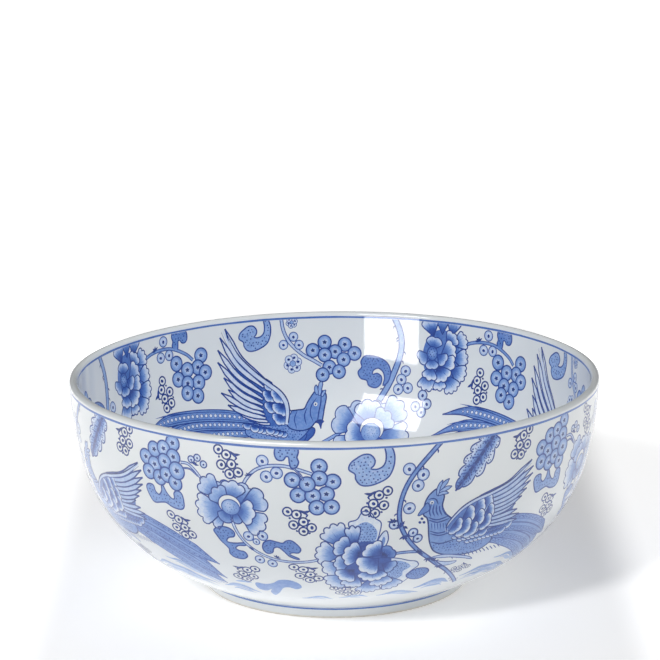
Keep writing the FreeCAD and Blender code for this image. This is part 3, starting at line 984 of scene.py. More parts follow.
# %% Loose sprays
def sprays(s):
    """The loose sprays of berries in the gaps, and a soft pool low on the wall."""
    for x, y, turn, size, mirror, wide in ((-57.0, 12.0, 20, 1.0, 1, 1), (-19.0, 43.2, 8, 1.0, 1, 1),
            (22.0, 32.6, -16, 1.0, -1, 1), (108.6, 10.4, -22, 1.0, -1, 1), (-92.4, 54.6, 18, 0.95, 1,
            1.15), (-17.8, 81.0, 12, 0.95, 1, 1.25), (-58.4, 85.0, -10, 0.95, -1, 1.25)):
        s.group()
        berries(s, x, y, turn, size, mirror, wide)
    s.group()
    blob = smooth([(-56, 96), (-54, 92.6), (-48, 93.4), (-42, 91.4), (-37, 87.6), (-30, 87.0),
                   (-24.4, 90.0), (-23, 94.6), (-27.0, 97.2), (-32, 95.4), (-36.4, 97.0),
                   (-40.6, 103.4), (-46, 109), (-47.6, 104), (-45.4, 99.4), (-50, 102.4), (-55, 101.2)],
                  closed=True)
    s.area(blob, 0.42)


print("they take", shapes_in(sprays), "shapes")


# %% Soft washes low on the wall
def streaks(s, points, widths, tones, gap=2.7):
    """Soft streaks side by side along a path, as a loose brush lays them."""
    path = smooth(points, step=1.6)
    side = ways(path)[1]
    for k, (width, tone) in enumerate(zip(widths, tones)):
        first, last = (5 * k) % 7, len(path) - (3 * k) % 5
        shift = side * (k * gap + 0.7 * np.sin(np.arange(len(path)) * 0.5 + k))[:, None]
        s.area(ribbon((path + shift)[first:last], width, (0.2, 0.1)), tone)


def shore(s):
    """Soft rocks, banks and grass low on the wall, with no outline."""
    for points, widths, tones in (
            ([(90, 96), (102, 92), (116, 92), (130, 96), (146, 104)], (3.2, 2.6, 3.4, 2.2), (0.42, 0.26,
                                                            0.36, 0.2)),
            ([(112, 84), (124, 84.4), (138, 90), (156, 101)], (2.4, 2.8), (0.36, 0.24)),
            ([(56, 102), (66, 97), (76, 96), (84, 101)], (3.6, 3.2, 2.6), (0.4, 0.28, 0.34)),
            ([(30, 108), (42, 104.6), (54, 106), (64, 111)], (2.8, 3.0), (0.34, 0.22)),
            ([(2, 109), (14, 106.4), (24, 108.6)], (2.4, 2.0), (0.26, 0.2)),
            ([(-26, 111), (-12, 108), (-2, 111)], (2.6, 1.8), (0.3, 0.2)),
            ([(-84, 103), (-74, 99), (-64, 101), (-56, 107)], (3.0, 2.6, 2.4), (0.34, 0.24, 0.3)),
            ([(-70, 94), (-64, 92.6), (-58, 94.4)], (2.2,), (0.26,))):
        s.group()
        streaks(s, points, widths, tones)
    s.group()
    for points in ([(14.6, 96.4), (13.6, 101), (14.8, 105)], [(17.4, 97), (17.8, 101), (17.0, 105)]):
        s.line(smooth(points), 0.8, 0.7, (0.6, 0.3))
    berries(s, 6.4, 99.6, 4, 0.8, wide=1.35)
    s.group()
    berries(s, 84.0, 86.4, 34, 0.62, -1, wide=1.2)


print("they take", shapes_in(shore), "shapes")


# %% The outside sheet
def outside_panel():
    """A quarter of the outside, in mm across at the rim and mm down the wall."""
    s = Print()
    for part in (left_fruit, small_flower, arch_fruit, main_stalk, bird_and_leaves, sprays, shore):
        part(s)
    return s


OUTSIDE_SHEET = outside_panel()
print("outside sheet", len(OUTSIDE_SHEET.shapes), "shapes in", OUTSIDE_SHEET.groups, "groups")


# %% [markdown]
# ## Motifs of the inside
#
# The inside has its own sheet, printed for its longer curve: small rosettes, a tall flower cut by the
# lip, and a bird that bows its head, with one wing straight up and a beaded tail behind it.


# %% Rosettes
def rosette(sheet, x, y, radius):
    """A small round flower: six stippled lobes round a dotted heart."""
    for k in range(6):
        a = math.radians(60 * k + 15)
        lobe = circle(x + 0.56 * radius * math.cos(a), y + 0.56 * radius * math.sin(a), 0.42 * radius)
        sheet.drawn(lobe, 0.08, 0.42, 0.8)
        spot(sheet, x + 0.6 * radius * math.cos(a), y + 0.6 * radius * math.sin(a), 0.16 * radius)
    sheet.drawn(circle(x, y, 0.3 * radius), 0.3, 0.4, 0.8)


print("a rosette takes", shapes_in(rosette, 0, 0, 6.2), "shapes")


# %% The tall flower
TALL_FLOWER = (
    (-3, -10, 256, 12, 60, 3, 0.85, 0.06), (3, -11, 270, 12, 58, 3, 0.75, 0.08),
    (9, -9, 288, 12, 72, 3, 0.88, 0.06), (-4, -5, 206, 12, 70, 4, 0.72, 0.03),
    (-4, 3, 184, 12.5, 70, 4, 0.75, 0.03), (-3, 9, 160, 13.5, 70, 4, 0.8, 0.03),
    (-1, 13, 126, 13, 70, 4, 0.82, 0.03), (11, 12, 86, 13, 78, 4, 0.85, 0.04),
    (4, 14, 102, 10, 72, 3, 0.8, 0.05), (0, -5, 226, 9.5, 90, 3, 0.85, 0.05),
    (3, 1, 206, 11, 86, 3, 0.66, 0.03), (4, 5, 164, 11.5, 84, 3, 0.85, 0.03),
    (5, 8, 122, 11.5, 88, 3, 0.9, 0.03), (9, 9, 78, 9.5, 88, 3, 0.82, 0.04),
)
TALL_FLOWER_HEART = (
    (6.0, 2.0, 150, 8.0, 90, 2, 0.8, 0.12), (12.0, 2.0, 32, 8.0, 96, 2, 0.7, 0.12),
    (9.0, -1.0, 262, 8.4, 110, 2, 0.75, 0.12), (9.6, 4.0, 96, 7.6, 100, 2, 0.8, 0.12),
)


def tall_peony(sheet, x, y):
    """A full flower seen from below its middle, its upper petals cut by the lip."""
    sheet.area(circle(x + 3, y + 3, 13.0, 1.3), 0.62)
    petals(sheet, x, y, TALL_FLOWER + TALL_FLOWER_HEART)
    heart = circle(x + 9.4, y + 1.4, 3.6, 1.2)
    sheet.drawn(heart, glow(x + 9.4, y + 1.4, 0.6, 4.2, 0.3, 0.7), 0.6)
    dots(sheet, heart, 1.8, 0.4, 0.9, 17, inset=0.7)


print("the tall flower takes", shapes_in(tall_peony, 0, 0), "shapes")


# %% A beaded feather
def beaded_feather(sheet, points, wide, ground=0.5):
    """A long tail feather: a dark ground, two rows of edging and a row of white beads."""
    middle = smooth(points, step=1.2)
    u = np.linspace(0, 1, len(middle))
    out = ways(middle)[1]
    half = wide / 2 * np.clip(np.minimum(0.6 + u * 1.4, (1 - u) * 4), 0.05, 1)
    sheet.drawn(both_sides(middle, out, half), ground, 0.7)
    for offset in (-0.62, 0.62):
        sheet.line((middle + out * half[:, None] * offset)[2:-4], 0.5, 0.85, (0.4, 0.2))
    for k in range(4, int(len(middle) * 0.86), 3):
        bead = circle(middle[k][0], middle[k][1], 1.15 * half[k] / wide * 2)
        sheet.area(bead, 0.04)
        sheet.line(bead, 0.35, 0.9, closed=True)


print("it takes", shapes_in(beaded_feather, [(0, 0), (50, 4), (90, 0)], 7), "shapes")


# %% The bowing bird's tail and body
def stooping_tail(sheet, x, y):
    """Three beaded feathers, and two fine strokes past their ends."""
    put = shifted(x, y)
    beaded_feather(sheet, put([(64, 71), (92, 68.5), (120, 66.5), (142, 69), (157, 75)]), 6.6, 0.42)
    beaded_feather(sheet, put([(62, 68), (92, 62.5), (120, 60), (144, 63.5), (163, 72)]), 7.0, 0.44)
    beaded_feather(sheet, put([(60, 64), (88, 57.5), (116, 54), (140, 53.5), (158, 57.5)]), 7.4, 0.46)
    for points in ([(118, 51.4), (134, 50.0), (146, 49.6)], [(128, 58.4), (142, 60.2), (153, 63.4)]):
        sheet.line(smooth(put(points)), 0.8, 0.8, (0.8, 0.2))


def stooping_body(sheet, x, y):
    """Claws, a stippled belly, and a bowed neck with its crest and beak."""
    put = shifted(x, y)
    for points in ([(25, 70.5), (29, 69.5), (33, 72), (36, 76), (33, 79), (29, 77), (25.6, 74)],
                   [(31, 74), (36, 73), (41, 76), (40, 80), (35, 80)]):
        sheet.drawn(smooth(put(points), closed=True), 0.72, 0.8)
    belly = smooth(put([(27, 66), (36, 64), (48, 66), (62, 64), (74, 66), (76, 71), (66, 76), (52, 79),
            (40, 78.6), (31, 73)]), closed=True)
    sheet.drawn(belly, 0.44, 0.8, 0.9)
    dots(sheet, belly, 2.2, 0.5, 0.85, 31, inset=0.9)
    body = smooth(put([(22.6, 46.4), (26.2, 50), (29.2, 54), (31.6, 57.6), (36.6, 58.2), (42.4, 59),
            (45.6, 63.6), (43, 69.4), (35.6, 71.4), (28.4, 70.2), (24.2, 66.6), (21.0, 67.2),
            (19.2, 65.4), (17.4, 57.4), (15.9, 50.2), (18.0, 47.0)]), closed=True)
    sheet.drawn(body, 0.46, 0.9, 0.95)
    sheet.line(smooth(put([(19.4, 48.4), (19.8, 54), (21.4, 60), (22.6, 66)])), 0.9, 0.9, (0.6, 0.6))
    for points, width in (([(22.6, 51), (26.4, 56), (27.4, 61), (25.8, 66)], 0.8),
            ([(29.4, 57), (31.6, 62), (30.8, 68)], 0.8), ([(36.6, 59), (39.0, 64), (38.0, 70)], 0.7)):
        sheet.line(smooth(put(points)), width, 0.85, (0.4, 0.3))
    sheet.area(circle(x + 23.4, y + 55.0, 1.3), 0.0, "bare")
    spot(sheet, x + 23.5, y + 55.1, 0.7, 0.95)
    for root, tip, width in (((20.6, 49.6), (18.7, 40.2), 2.6), ((22.0, 49.0), (22.6, 43.0), 2.4),
            ((19.0, 50.4), (16.2, 46.4), 1.8)):
        quill(sheet, put([root])[0], put([tip])[0], width, 0.4, light=0.3, line=0.6)
    sheet.area(smooth(put([(17.8, 66.0), (20.6, 64.6), (24.6, 66.0), (22.0, 67.6), (20.4, 71.2),
            (19.4, 67.6)]), closed=True), 0.9, "line")


print("they take", shapes_in(stooping_tail, 0, 0) + shapes_in(stooping_body, 0, 0), "shapes")


# %% Its wing
def stooping_wing(sheet, x, y):
    """The wing held straight up: flight feathers, small down along the belly, and coverts."""
    put = shifted(x, y)
    tips = put([(82.5, 4), (86.4, 9), (88.5, 16.5), (89.2, 24), (85.9, 34), (83.6, 41.6), (89.0, 43.0),
                (85.4, 51.0), (80.0, 55.4), (74.6, 59.0)])
    roots = put([(57.0, 38.6), (58.4, 42.6), (59.2, 46.4), (59.8, 50.2), (60.2, 53.6), (60.2, 56.8),
                 (59.8, 59.6), (59.4, 62.0), (58.4, 64.2), (57.0, 66.0)])
    sheet.area(smooth(put([(47, 46), (56, 38.4), (66, 31), (74, 26), (78, 32), (76, 42), (74, 52),
            (68, 60), (58, 67), (48, 66), (44.6, 56)]), closed=True), 0.68)
    for k in reversed(range(len(roots))):
        quill(sheet, roots[k], tips[k], 3.3, 3.8 - 0.36 * k, light=0.06, line=0.95)
    for sx, sy, count in ((58, 68.0, 6), (53, 70.4, 6), (48, 71.0, 4)):
        for k in range(count):
            petal(sheet, x + sx + k * 3.1, y + sy - 0.9 * k, 76, 4.4, 140, lobes=1, dark=0.8,
                  light=0.05, streaks=False, width=0.55)
    for cx, cy, radius, direction in ((54.6, 43.0, 6.0, 40), (55.6, 49.4, 6.2, 52), (55.0, 56.0, 6.6,
            62), (48.6, 49.4, 7.6, 52), (48.0, 57.0, 8.4, 66), (50.0, 63.6, 7.0, 60)):
        petal(sheet, x + cx - 2, y + cy - 3, direction, radius, 150, lobes=3, dark=0.9, light=0.05,
              width=0.6)
    edge = smooth(put([(43.6, 66.0), (41.9, 59.0), (42.6, 52.0), (46.4, 46.0), (53.4, 40.4),
            (62.8, 33.0), (73.0, 22.6), (78.6, 13.0), (82.5, 4.0)]))
    sheet.line(edge + (1.5, 0.8), 2.4, 0.1, (0.8, 0.2))
    sheet.line(edge, 0.9, 0.95, (1.0, 0.3))
    sheet.line(edge + (2.9, 1.4), 0.55, 0.85, (1.0, 0.3))


def stooping_phoenix(sheet, x, y):
    """The bird of the inside, its parts laid from the back to the front."""
    for part in (stooping_tail, stooping_body, stooping_wing):
        part(sheet, x, y)


print("it takes", shapes_in(stooping_phoenix, 0, 0), "shapes")


# %% [markdown]
# ## The inside sheet
#
# The inside takes four repeats of a sheet that is a little narrower than a quarter turn. The gap that
# they leave is closed by a narrow strip of fruit, as a decorator patches the place where a paper border
# meets itself. A round print covers the floor.


# %% Under the lip
def hanging_fruit(s):
    """A leaf, a bunch of fruit on an arching stalk, and the tall flower under the lip."""
    s.group()
    leaf(s, SQUARE_SCROLL, -108.6, 1.4, size=0.96, tone=0.5, seed=41)
    s.group()
    stem(s, [(-117.8, 20), (-112.6, 15.5), (-102.1, 10.8), (-91.6, 10), (-81.2, 12), (-73.3, 17)], 2.3,
         0.4)
    grapes(s, [(-124.1, 18.0), (-104.7, 20.3), (-121.0, 25.0), (-112.8, 25.4), (-126.2, 28.8),
               (-104.7, 30.0), (-120.4, 34.2), (-111.8, 33.6), (-118.3, 42.2), (-110.5, 39.4)], 4.6)
    ring_berries(s, [(-95.6, 5.2), (-99.5, 14.2), (-92.4, 14.6)], 3.2, 0.6, 0.85)
    thorns(s, -88.0, 9.6, 10, 1.2)
    tall_peony(s, -64.5, 19.5)
    s.group()
    berries(s, -92.6, 38.4, 62, 1.06)
    s.group()
    ring_berries(s, [(-50.5, 47.3), (-54.2, 52.4), (-51.0, 57.8), (-46.2, 54.6)], 3.2, 0.75, 0.9)


def lip_stalk(s):
    """The stalk from the lip with a spiral leaf, and the open flower low on the wall."""
    s.group()
    ring_berries(s, [(-37.4, 33.2), (-34.8, 38.6), (-39.6, 43.6), (-33.0, 44.8)], 3.3, 0.6, 0.85)
    branch(s, [(-28.6, -0.2), (-32.4, 8), (-34.0, 16), (-33.0, 24.6), (-30.2, 33), (-26.6, 41.6),
               (-21.4, 50.6), (-16.0, 58.0)], 4.2, 0.34, 6, seed=44)
    leaf(s, SPIRAL, -25.8, 40.4, tone=0.5, gap=2.1, seed=45)
    stem(s, [(1.0, 69.4), (6.0, 73.0), (11.6, 76.0), (19.0, 79.6), (30.0, 84.6), (44.0, 87.4)], 2.6, 0.36)
    small_peony(s, -16.0, 73.0, 1.36)


print("they take", shapes_in(hanging_fruit), "and", shapes_in(lip_stalk), "shapes")


# %% Beside the bird, and near the floor
def second_fruit(s):
    """Fruit on its own stalk, two rosettes, the hanging curl and the bird."""
    s.group()
    stem(s, [(44.5, -0.2), (43.2, 8), (39.3, 16), (31.4, 23.5), (23.6, 28), (18.6, 31)], 2.5)
    grapes(s, [(3.4, 18.0), (16.5, 16.5), (24.3, 21.5), (-2.9, 23.6), (9.7, 22.5), (16.5, 24.5),
               (4.2, 27.5), (13.6, 32.2), (7.3, 35.0), (18.1, 36.8)], 4.3)
    ring_berries(s, [(36.7, 12.5), (33.2, 17.7), (43.4, 17.2)], 2.9, 0.55, 0.8)
    rosette(s, 37.6, 3.4, 3.9)
    rosette(s, 37.7, 29.2, 6.2)
    s.group()
    leaf(s, CURL, 57.6, 0.2, size=0.9, mirror=-1, tone=0.3, seed=46)
    s.group()
    stooping_phoenix(s, 0, 0)


def low_ring(s):
    """Leaves, fruit and berries where the wall bends into the floor."""
    s.group()
    stem(s, [(-96, 66), (-92, 74), (-86, 81), (-78, 86), (-66, 88.6), (-52, 88.0), (-40, 83.6)], 2.6, 0.3)
    leaf(s, FORKED, -92.6, 78.4, size=0.9, tone=0.46, seed=47)
    leaf(s, KNUCKLE, -62.0, 100.6, size=1.0, tone=0.46, seed=48)
    ring_berries(s, [(-70.6, 82.0), (-78.4, 92.0), (-72.0, 94.6)], 3.2, 0.6, 0.85)
    s.group()
    grapes(s, [(66, 86), (74, 84), (82, 87), (70, 93), (78, 94.4), (86, 95), (74, 101), (82, 102.4)],
           4.7)
    s.group()
    berries(s, 12.0, 94.6, 10, 1.1, wide=1.3)
    s.group()
    berries(s, 104.0, 84.0, -16, 1.05, -1, wide=1.25)


print("they take", shapes_in(second_fruit), "and", shapes_in(low_ring), "shapes")


# %% The inside sheet and its closing strip
def inside_panel():
    """One repeat of the inside, in the same mm; across grows to the left of someone who looks in."""
    s = Print()
    for part in (hanging_fruit, lip_stalk, second_fruit, low_ring):
        part(s)
    return s


def closing_strip():
    """What fills the narrow gap left where the repeats of the inside meet."""
    s = Print()
    s.group()
    stem(s, [(-6.0, -0.2), (-8.4, 7.0), (-6.0, 13.0), (-1.0, 18.0), (2.0, 24.0)], 2.5)
    grapes(s, [(-5.4, 24.0), (2.6, 22.0), (10.4, 25.0), (-1.6, 30.4), (6.4, 31.8), (12.6, 33.6),
               (-5.0, 37.6), (2.4, 39.2), (9.2, 40.6)], 4.4)
    ring_berries(s, [(-1.4, 6.4), (4.4, 4.2), (5.0, 10.4)], 2.9, 0.6, 0.85)
    return s


INSIDE_SHEET, STRIP = inside_panel(), closing_strip()
print("inside sheet", len(INSIDE_SHEET.shapes), "shapes, strip", len(STRIP.shapes))


# %% The round print on the floor
def medallion():
    """The flower on the floor, in mm either way from the middle, in two ring lines."""
    s = Print()
    for radius, width in ((56.0, 0.5), (59.0, 0.9)):
        s.line(circle(0, 0, radius, step=1.5), width, 0.62, closed=True)
    stem(s, [(-44, 22), (-34, 30), (-22, 33), (-10, 28), (-4, 18)], 2.3, 0.3)
    stem(s, [(10, 22), (20, 32), (32, 32), (40, 24), (44, 14)], 2.3, 0.3)
    leaf(s, FORKED, -30, 31, size=0.9, tone=0.46, seed=61)
    leaf(s, KNUCKLE, 36, 36, size=0.8, tone=0.46, seed=62)
    leaf(s, CURL, -36, -26, turn=-20, size=0.9, tone=0.36, seed=63)
    big_peony(s, 0, -4)
    s.group()
    berries(s, 40, -12, 20, 1.0)
    s.group()
    berries(s, -44, 6, -10, 0.9)
    return s


FLOOR_PRINT = medallion()
print("floor print", len(FLOOR_PRINT.shapes), "shapes")


# %% [markdown]
# ## From a flat print to a film in the glaze
#
# The sheet is cut up once, like stained glass: every outline becomes an edge of one triangulation,
# and each triangle takes the tone of the last shape painted over it. So nothing overlaps, and no
# two layers fight. A second, coarser grid of points lets the tone change smoothly inside a petal
# and lets the sheet bend round the bowl.


# %% Which triangles lie inside an outline
GRID = 2.4          # mm between the points that let a sheet bend
SAME_PLACE = 1e-4   # mm within which two corners are one


def winding(outline, points):
    """How many times the outline runs round each point."""
    x, y = outline[:, 0], outline[:, 1]
    x2, y2 = np.roll(x, -1), np.roll(y, -1)
    px, py = points[:, 0][:, None], points[:, 1][:, None]
    left = (x2 - x) * (py - y) - (px - x) * (y2 - y)
    up = (y <= py) & (y2 > py) & (left > 0)
    down = (y > py) & (y2 <= py) & (left < 0)
    return up.sum(axis=1) - down.sum(axis=1)


# %% Cut one group of shapes
def cut_group(shapes, top):
    """Points, triangles below the top line, and the place of each one's owner in the list or -1."""
    corners, edges = [], []
    for _, outline, _ in shapes:
        first, count = len(corners), len(outline)
        corners += outline.tolist()
        edges += [(first + k, first + (k + 1) % count) for k in range(count)]
    low, high = np.min(corners, axis=0), np.max(corners, axis=0)
    if low[1] < top:
        edges.append((len(corners), len(corners) + 1))
        corners += [[low[0] - 1, top], [high[0] + 1, top]]
    grid = np.stack(np.meshgrid(np.arange(low[0], high[0], GRID), np.arange(low[1], high[1], GRID)), -1)
    corners += grid.reshape(-1, 2).tolist()
    points, _, faces, *_ = delaunay_2d_cdt([Vector(c) for c in corners], edges, [], 0, SAME_PLACE)
    points = np.array([p[:] for p in points])
    faces = np.array(faces)
    middles = points[faces].mean(axis=1)
    owner = np.full(len(faces), -1)
    for place, (_, outline, _) in enumerate(shapes):
        low, high = outline.min(axis=0), outline.max(axis=0)
        near = np.nonzero(np.all((middles >= low) & (middles <= high), axis=1))[0]
        if len(near):
            owner[near[winding(outline, middles[near]) != 0]] = place
    owner[middles[:, 1] < top] = -1
    return points, faces, owner


# %% Cut a whole sheet
def cut_sheet(sheet, top):
    """{kind: (points, triangles, tone at each corner)} for a sheet's washes and lines below its top."""
    pieces = {kind: ([], [], []) for kind in ("wash", "line")}
    starts = dict.fromkeys(pieces, 0)
    for group in sorted({shape[0] for shape in sheet.shapes}):
        shapes = [shape[1:] for shape in sheet.shapes if shape[0] == group]
        points, faces, owner = cut_group(shapes, top)
        for kind, (all_points, all_faces, all_tones) in pieces.items():
            mine = [k for k, shape in enumerate(shapes) if shape[0] == kind]
            chosen = np.isin(owner, mine)
            if not chosen.any():
                continue
            used, packed = np.unique(faces[chosen], return_inverse=True)
            tones = np.zeros((int(chosen.sum()), 3))
            for k in mine:
                here = owner[chosen] == k
                if here.any():
                    at = points[faces[chosen][here]].reshape(-1, 2)
                    tone = shapes[k][2]
                    value = tone(at[:, 0], at[:, 1]) if callable(tone) else np.full(len(at), tone)
                    tones[here] = value.reshape(-1, 3)
            all_points.append(points[used])
            all_faces.append(packed.reshape(-1, 3) + starts[kind])
            all_tones.append(tones)
            starts[kind] += len(used)
    return {kind: tuple(np.concatenate(part) for part in parts) for kind,
            parts in pieces.items() if parts[0]}


# %% [markdown]
# ## Wrapping the sheet round the bowl
#
# A decorator lays a printed sheet on the curved wall. Geometry Nodes do the same: across the sheet
# becomes an angle round the axis, down the sheet becomes a distance along the wall's curve, and the
# whole is lifted a hair off the glaze so that it can be seen. One tree serves both faces, every
# sheet and the banded lines.


# %% Colours, and one node with its links
def colour(code):
    """An sRGB hex code as linear RGBA."""
    parts = [int(code[k:k + 2], 16) / 255 for k in (1, 3, 5)]
    return tuple(p / 12.92 if p <= 0.04045 else ((p + 0.055) / 1.055) ** 2.4 for p in parts) + (1.0,)


def add(tree, kind, settings=None, **sockets):
    """One node: settings are its properties, or the stops of a ramp; sockets are its inputs, by name
    with _ for a space, or in_0, in_1 by place."""
    node = tree.nodes.new(kind)
    for name, value in (settings or {}).items():
        if name != "stops":
            setattr(node, name, value)
            continue
        while len(node.color_ramp.elements) < len(value):
            node.color_ramp.elements.new(0.5)
        for element, (place, code) in zip(node.color_ramp.elements, value):
            element.position, element.color = place, colour(code)
    for name, value in sockets.items():
        place = int(name[3:]) if name.startswith("in_") else name.replace("_", " ")
        socket = node.inputs[place]
        if isinstance(value, bpy.types.NodeSocket):
            tree.links.new(value, socket)
        else:
            socket.default_value = value
    return node


# %% The tree that wraps
def wrap_tree():
    """Bends a flat sheet (metres across and down) round the wall that the curve object draws."""
    tree = bpy.data.node_groups.new("wrap on the wall", "GeometryNodeTree")
    ports = tree.interface
    for name, kind in (("Sheet", "NodeSocketGeometry"), ("Wall", "NodeSocketObject"), ("Rim radius",
            "NodeSocketFloat"), ("Turn", "NodeSocketFloat"), ("Lift", "NodeSocketFloat"),
            ("Finish", "NodeSocketMaterial")):
        ports.new_socket(name, in_out="INPUT", socket_type=kind)
    ports.new_socket("Film", in_out="OUTPUT", socket_type="NodeSocketGeometry")
    given = tree.nodes.new("NodeGroupInput").outputs
    flat = add(tree, "ShaderNodeSeparateXYZ", in_0=add(tree, "GeometryNodeInputPosition").outputs[0])
    wall = add(tree, "GeometryNodeObjectInfo", Object=given["Wall"]).outputs["Geometry"]
    at = add(tree, "GeometryNodeSampleCurve", {"mode": "LENGTH", "use_all_curves": True}, Curves=wall,
             Length=flat.outputs["Y"])
    off_wall = add(tree, "ShaderNodeVectorMath", {"operation": "CROSS_PRODUCT"},
                   in_0=at.outputs["Tangent"], in_1=(0, 1, 0))
    lifted = add(tree, "ShaderNodeVectorMath", {"operation": "SCALE"}, in_0=off_wall.outputs[0],
                 Scale=given["Lift"]).outputs[0]
    place = add(tree, "ShaderNodeVectorMath", {"operation": "ADD"}, in_0=at.outputs["Position"],
                in_1=lifted)
    across = add(tree, "ShaderNodeMath", {"operation": "DIVIDE"}, in_0=flat.outputs["X"],
                 in_1=given["Rim radius"])
    angle = add(tree, "ShaderNodeMath", {"operation": "ADD"}, in_0=across.outputs[0],
                in_1=given["Turn"]).outputs[0]
    round_wall = add(tree, "ShaderNodeVectorRotate", {"rotation_type": "Z_AXIS"},
                     Vector=place.outputs[0], Angle=angle).outputs[0]
    outwards = add(tree, "ShaderNodeVectorRotate", {"rotation_type": "Z_AXIS"}, Vector=lifted,
                   Angle=angle)
    facing = add(tree, "ShaderNodeVectorMath", {"operation": "NORMALIZE"},
                 in_0=outwards.outputs[0]).outputs[0]
    kept = add(tree, "GeometryNodeStoreNamedAttribute", {"data_type": "FLOAT_VECTOR",
            "domain": "POINT"}, Geometry=given["Sheet"], Name="facing", Value=facing)
    moved = add(tree, "GeometryNodeSetPosition", Geometry=kept.outputs[0], Position=round_wall)
    real = add(tree, "GeometryNodeRealizeInstances", Geometry=moved.outputs[0])
    painted = add(tree, "GeometryNodeSetMaterial", Geometry=real.outputs[0], Material=given["Finish"])
    tree.links.new(painted.outputs[0], tree.nodes.new("NodeGroupOutput").inputs[0])
    return tree


WRAP = wrap_tree()
print("wrap tree", len(WRAP.nodes), "nodes")


# %% The wall's two curves, for the tree to follow
def wall_object(name, curve):
    """The curve of one face as a poly spline in the XZ plane."""
    data = bpy.data.curves.new(name, "CURVE")
    data.dimensions = "3D"
    spline = data.splines.new("POLY")
    spline.points.add(len(curve) - 1)
    for point, (r, z) in zip(spline.points, curve):
        point.co = (r * MM, 0, z * MM, 1)
    return bpy.data.objects.new(name, data)


OUTSIDE_WALL = wall_object("outside wall", outside_curve)
INSIDE_WALL = wall_object("inside wall", inside_curve)
print("wall curves of", len(outside_curve), "and", len(inside_curve), "points")


# %% Flat meshes
UV_MARGIN = 0.01   # share of the UV square left free along its edges


def flat_mesh(name, points, faces, tones, flip):
    """The flat sheet as a mesh, with a tone at each corner and a UV map."""
    mesh = bpy.data.meshes.new(name)
    if flip:
        faces, tones = faces[:, ::-1], tones[:, ::-1]
    mesh.from_pydata([(x * MM, y * MM, 0) for x, y in points], [], faces.tolist())
    mesh.attributes.new("tone", "FLOAT", "CORNER").data.foreach_set("value", tones.ravel())
    low, high = points.min(axis=0), points.max(axis=0)
    share = (points[faces.ravel()] - low) / (high - low)
    uvs = UV_MARGIN + (1 - 2 * UV_MARGIN) * share
    mesh.uv_layers.new(name="OFBake").data.foreach_set("uv", uvs.ravel())
    return mesh


# %% Wrap one sheet
def wrapped(name, flat, wall, turn, lift, finish):
    """The flat mesh laid on the wall, as a plain mesh whose normals are the wall's own."""
    maker = bpy.data.objects.new(name + " flat", flat)
    bpy.context.collection.objects.link(maker)
    modifier = maker.modifiers.new("wrap", "NODES")
    modifier.node_group = WRAP
    ports = [item for item in WRAP.interface.items_tree if item.in_out == "INPUT"]
    inputs = {port.name: port.identifier for port in ports}
    for label, value in (("Wall", wall), ("Rim radius", RIM_RADIUS * MM), ("Lift", lift * MM),
            ("Turn", math.radians(turn - 90)), ("Finish", finish)):
        modifier[inputs[label]] = value
    graph = bpy.context.evaluated_depsgraph_get()
    mesh = bpy.data.meshes.new_from_object(maker.evaluated_get(graph), depsgraph=graph)
    maker.modifiers.remove(modifier)
    bpy.data.objects.remove(maker)
    mesh.name = name
    facing = np.zeros(len(mesh.vertices) * 3)
    mesh.attributes["facing"].data.foreach_get("vector", facing)
    mesh.attributes.remove(mesh.attributes["facing"])
    mesh.shade_smooth()
    mesh.normals_split_custom_set_from_vertices(facing.reshape(-1, 3).tolist())
    piece = bpy.data.objects.new(name, mesh)
    bpy.context.collection.objects.link(piece)
    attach(piece, "root")
    return piece


# %% [markdown]
# ## Finishes
#
# Glazed porcelain is white, slightly blue clay under a clear glass coat: a soft diffuse ground and
# a sharp mirror on top. The cobalt lies under that same coat, so the painted film has the same
# gloss, and only its colour changes, from a pale wash to almost black blue where it is thick.


# %% A new material, and the glassy coat
GLAZE_INDEX = 1.5   # refractive index of a feldspar glaze


def new_material(name):
    """A material with its tree, its shader and the object's own coordinates."""
    material = bpy.data.materials.new(name)
    material.use_nodes = True
    tree = material.node_tree
    shader = tree.nodes["Principled BSDF"]
    here = add(tree, "ShaderNodeTexCoord").outputs["Object"]
    return material, tree, shader, here


def glass_coat(shader, ground=0.45, coat=0.04):
    """The clear glaze: a smooth dielectric coat over a matt ground."""
    shader.inputs["Roughness"].default_value = ground
    shader.inputs["Coat Weight"].default_value = 1.0
    shader.inputs["Coat Roughness"].default_value = coat
    shader.inputs["Coat IOR"].default_value = GLAZE_INDEX
    shader.inputs["Specular IOR Level"].default_value = 0.2


# %% The clear glaze on white clay
POOL, WAVE = 38, 9   # mm across a place where glaze pooled, and across one of its slow waves


def glaze_material():
    """Clear feldspar glaze on white porcelain: a faint blue cast, with slow drifts where it pooled."""
    material, tree, shader, here = new_material("feldspar glaze on porcelain")
    drift = add(tree, "ShaderNodeTexNoise", Vector=here, Scale=1 / (POOL * MM), Detail=3.0)
    tint = add(tree, "ShaderNodeValToRGB", {"stops": ((0.3, "#DADFE2"), (0.7, "#DEE2E4"))},
               Fac=drift.outputs["Fac"])
    tree.links.new(tint.outputs["Color"], shader.inputs["Base Color"])
    glass_coat(shader)
    waves = add(tree, "ShaderNodeTexNoise", Vector=here, Scale=1 / (WAVE * MM), Detail=1.0)
    ripple = add(tree, "ShaderNodeBump", Strength=0.05, Distance=0.0004, Height=waves.outputs["Fac"])
    tree.links.new(ripple.outputs[0], shader.inputs["Coat Normal"])
    return material


GLAZE_FINISH = glaze_material()
print("glaze, coat index", GLAZE_INDEX)


# %% [markdown]
# ## Cobalt under the glaze
#
# Cobalt oxide is ground into an ink and printed or brushed on the fired clay; the glaze melts over it
# and lets it spread a little. A thin coat is a pale sky blue and a thick one is nearly black. So one
# ramp from pale to dark serves every tone, and the tone painted on the sheet picks its place on it.
# A fine noise breaks the colour up as the ink soaks in unevenly, and a coarser one as the brush did.


